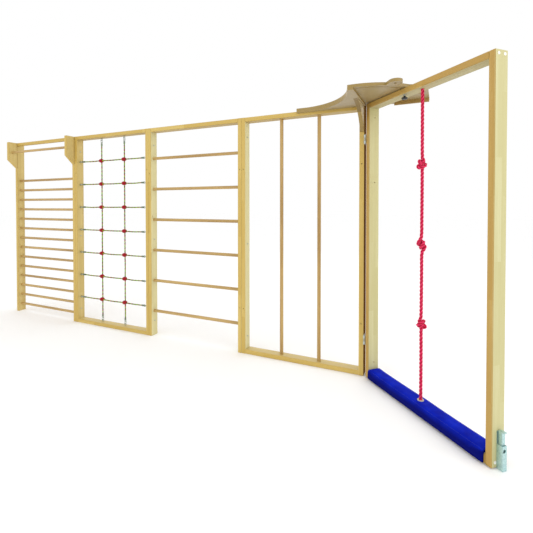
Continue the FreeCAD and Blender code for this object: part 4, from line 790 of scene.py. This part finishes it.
def on_door(along, into, up):
    """A place given in millimetres from the hinge axis, along and into the swinging frame."""
    return hinge + ALONG_DOOR * (along / 1000) + INTO_DOOR * (into / 1000) + UP * (up / 1000)


# The pad's ends along the frame, its middle line, its crown and the height above which it
# curves over, and the faces of the beam inside it, all in mm.
PAD_START, PAD_END = 56.5, 1242.5
PAD_MIDDLE, PAD_CROWN, PAD_SHOULDER = 59, 91.5, 60
BEAM_FRONT, BEAM_BACK, BEAM_TOP = 7, 111, 66
# Its section runs from the front lower edge over the top, and back along the inside, in mm.
OUTSIDE = [(-10, 10), (-10.6, 22), (-11, 36), (-11, 50), (-10.6, 64), (-9, 76), (-4.5, 85), (4, 89.3),
           (16, 90.3), (32, 91), (48, 91.4), (59, 91.5), (70, 91.4), (86, 91), (102, 90.3), (114, 89.3),
           (122.5, 85), (127, 76), (128.6, 64), (129, 50), (129, 36), (128.6, 22), (128, 10)]
INSIDE = [(120, 8.6), (112, 10), (111.6, 24), (111.6, 44), (111.6, 62), (108, 66.6), (84, 66.6), (59, 66.6),
          (34, 66.6), (10, 66.6), (6.4, 62), (6.4, 44), (6.4, 24), (6, 10), (-2, 8.6)]
section = OUTSIDE + INSIDE
PAD_STEP = 11
# How far the cover is drawn in at its sewn end and over the next few hoops.
END_DRAW = (5.0, 2.2, 0.8, 0.2)
work = bmesh.new()
count = int((PAD_END - PAD_START) / PAD_STEP)
hoops = []
for index in range(count + 1):
    along = PAD_START + (PAD_END - PAD_START) * index / count
    near_end = min(index, count - index)
    draw_in = END_DRAW[near_end] if near_end < len(END_DRAW) else 0.0
    hoop = []
    for place_index, (into, up) in enumerate(section):
        if place_index < len(OUTSIDE):
            into = into + draw_in if into < PAD_MIDDLE else into - draw_in
            up = min(up, PAD_CROWN - draw_in) if up > PAD_SHOULDER else up
        hoop.append(work.verts.new(on_door(along, into, up)))
    hoops.append(hoop)
for start, end in zip(hoops, hoops[1:]):
    for index in range(len(section)):
        after = (index + 1) % len(section)
        work.faces.new((start[index], start[after], end[after], end[index]))
# Each end is closed by a band of cloth between the outer and inner lines of the section.
outer_count, inner_count = len(OUTSIDE), len(INSIDE)
for hoop, flip in ((hoops[0], True), (hoops[-1], False)):
    outer, inner = hoop[:outer_count], hoop[outer_count:][::-1]
    for index in range(outer_count - 1):
        share = index * (inner_count - 1) / (outer_count - 1)
        after = (index + 1) * (inner_count - 1) / (outer_count - 1)
        corners = [outer[index], outer[index + 1], inner[round(after)], inner[round(share)]]
        corners = list(dict.fromkeys(corners))
        if len(corners) > 2:
            work.faces.new(corners if flip else corners[::-1])
bmesh.ops.recalc_face_normals(work, faces=work.faces)
pad_mesh = bpy.data.meshes.new("sill_pad_cover")
work.to_mesh(pad_mesh)
work.free()
pad = piece_from("sill_pad_cover", pad_mesh, blue_cloth)
# The cloth is held where it lies on the beam, along its lower hem and under the eyelet. The
# rest swells by up to 6 mm under the foam's pressure.
EYELET_REACH = 0.042
BEAM_TOUCH, HEM_TOP = 1.5, 11
held = pad.vertex_groups.new(name="held")
for vertex in pad_mesh.vertices:
    local = vertex.co - hinge
    into, up = local.dot(INTO_DOOR) * 1000, local.z * 1000
    near_rope = math.dist((vertex.co.x, vertex.co.y), (rope_line.x, rope_line.y)) < EYELET_REACH
    on_beam = BEAM_FRONT - BEAM_TOUCH < into < BEAM_BACK + BEAM_TOUCH and up < BEAM_TOP + BEAM_TOUCH
    if on_beam or up < HEM_TOP or near_rope:
        held.add([vertex.index], 1.0, "REPLACE")
SWELL, CLOTH_STEPS = 0.006, 20
before = [vertex.co.copy() for vertex in pad_mesh.vertices]
cloth = pad.modifiers.new("cloth", "CLOTH")
cloth.settings.quality = 6
cloth.settings.mass = 0.25
cloth.settings.tension_stiffness = cloth.settings.compression_stiffness = 12
cloth.settings.bending_stiffness = 0.4
cloth.settings.use_pressure = True
cloth.settings.uniform_pressure_force = 4
cloth.settings.vertex_group_mass = "held"
cloth.settings.effector_weights.gravity = 0
for step in range(1, CLOTH_STEPS + 1):
    bpy.context.scene.frame_set(step)
swollen = plain_mesh(pad)
pad.modifiers.remove(cloth)
for vertex, start, end in zip(pad_mesh.vertices, before, swollen.vertices):
    move = end.co - start
    vertex.co = start + move * min(1.0, SWELL / max(move.length, 1e-6))
bpy.context.scene.frame_set(1)
pad.vertex_groups.clear()
for polygon in pad_mesh.polygons:
    polygon.use_smooth = True
rounding = pad.modifiers.new("rounding", "SUBSURF")
rounding.levels = rounding.render_levels = 1
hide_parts("sill_pad")
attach(pad, "swing_frame")

# Rows of dark blue stitches, 7 mm apart, run along both upper edges of the cover. The thread
# is twisted polyester, a shade darker than the cloth.
STITCH_SIZES = {"Stitch Pitch": 0.007, "Stitch Length": 0.0045, "Thread Radius": 0.0007}
stitches = bpy.data.node_groups.new("stitch_row", "GeometryNodeTree")
given = add_inputs(stitches, ("Stitch Pitch", "Stitch Length", "Thread Radius"))
spread = add(stitches, "GeometryNodeCurveToPoints",
             {"Curve": given["Geometry"], "Length": given["Stitch Pitch"]}, mode="LENGTH")
tip = add(stitches, "ShaderNodeCombineXYZ", {2: given["Stitch Length"]})
thread = add(stitches, "GeometryNodeCurvePrimitiveLine", {"End": tip.outputs[0]})
bent = add(stitches, "GeometryNodeResampleCurve", {"Curve": thread.outputs[0], "Count": 5}, mode="COUNT")
share = add(stitches, "GeometryNodeSplineParameter").outputs["Factor"]
bow = add(stitches, "ShaderNodeMath", {0: share, 1: math.pi}, operation="MULTIPLY")
rise = add(stitches, "ShaderNodeMath", {0: bow.outputs[0]}, operation="SINE")
arch = add(stitches, "ShaderNodeMath", {0: rise.outputs[0], 1: given["Thread Radius"]}, operation="MULTIPLY")
lift = add(stitches, "ShaderNodeCombineXYZ", {0: arch.outputs[0]})
arched = add(stitches, "GeometryNodeSetPosition", {"Geometry": bent.outputs[0], "Offset": lift.outputs[0]})
ring = add(stitches, "GeometryNodeCurvePrimitiveCircle",
           {"Resolution": 6, "Radius": given["Thread Radius"]})
strung = add(stitches, "GeometryNodeCurveToMesh",
             {"Curve": arched.outputs[0], "Profile Curve": ring.outputs[0], "Fill Caps": True})
placed = add(stitches, "GeometryNodeInstanceOnPoints",
             {"Points": spread.outputs["Points"], "Instance": strung.outputs[0],
              "Rotation": spread.outputs["Rotation"]})
end_tree(stitches, placed.outputs[0], given["Finish"])
TWINE_PER_M = 900
blue_thread, tree = new_finish("thread_dark_blue_polyester")
place = add(tree, "ShaderNodeTexCoord").outputs["Object"]
twine = add(tree, "ShaderNodeTexNoise", {"Vector": place, "Scale": TWINE_PER_M})
tint = add(tree, "ShaderNodeMix", {0: twine.outputs["Fac"], 6: hue("#0a1460"), 7: hue("#1c2c9c")},
           data_type="RGBA")
surface(tree, {"Base Color": tint.outputs[2], "Roughness": 0.5})
bpy.context.view_layer.update()
cover = pad.evaluated_get(bpy.context.evaluated_depsgraph_get())
# Each seam is laid on the cover from above, at points spaced evenly between its ends.
SEAMS = (("front", 3.0), ("back", 115.0))
SEAM_POINTS, SEAM_INSET, SEAM_PROUD = 40, 12, 0.0002
ABOVE_PAD = 160
seam_run = PAD_END - PAD_START - SEAM_INSET * 2
for side, into in SEAMS:
    places = []
    for index in range(SEAM_POINTS):
        start = on_door(PAD_START + SEAM_INSET + seam_run * index / (SEAM_POINTS - 1), into, ABOVE_PAD)
        _, place, way, _ = cover.ray_cast(start, (0, 0, -1))
        places.append(place + way * SEAM_PROUD)
    seam = route_of("pad_seam_" + side, places)
    row = run_tree(seam, stitches, STITCH_SIZES, blue_thread, "pad_stitches_" + side)
    bpy.data.objects.remove(seam)
    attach(row, "swing_frame")

# ---------------------------------------------------------------- last update
bpy.context.view_layer.update()
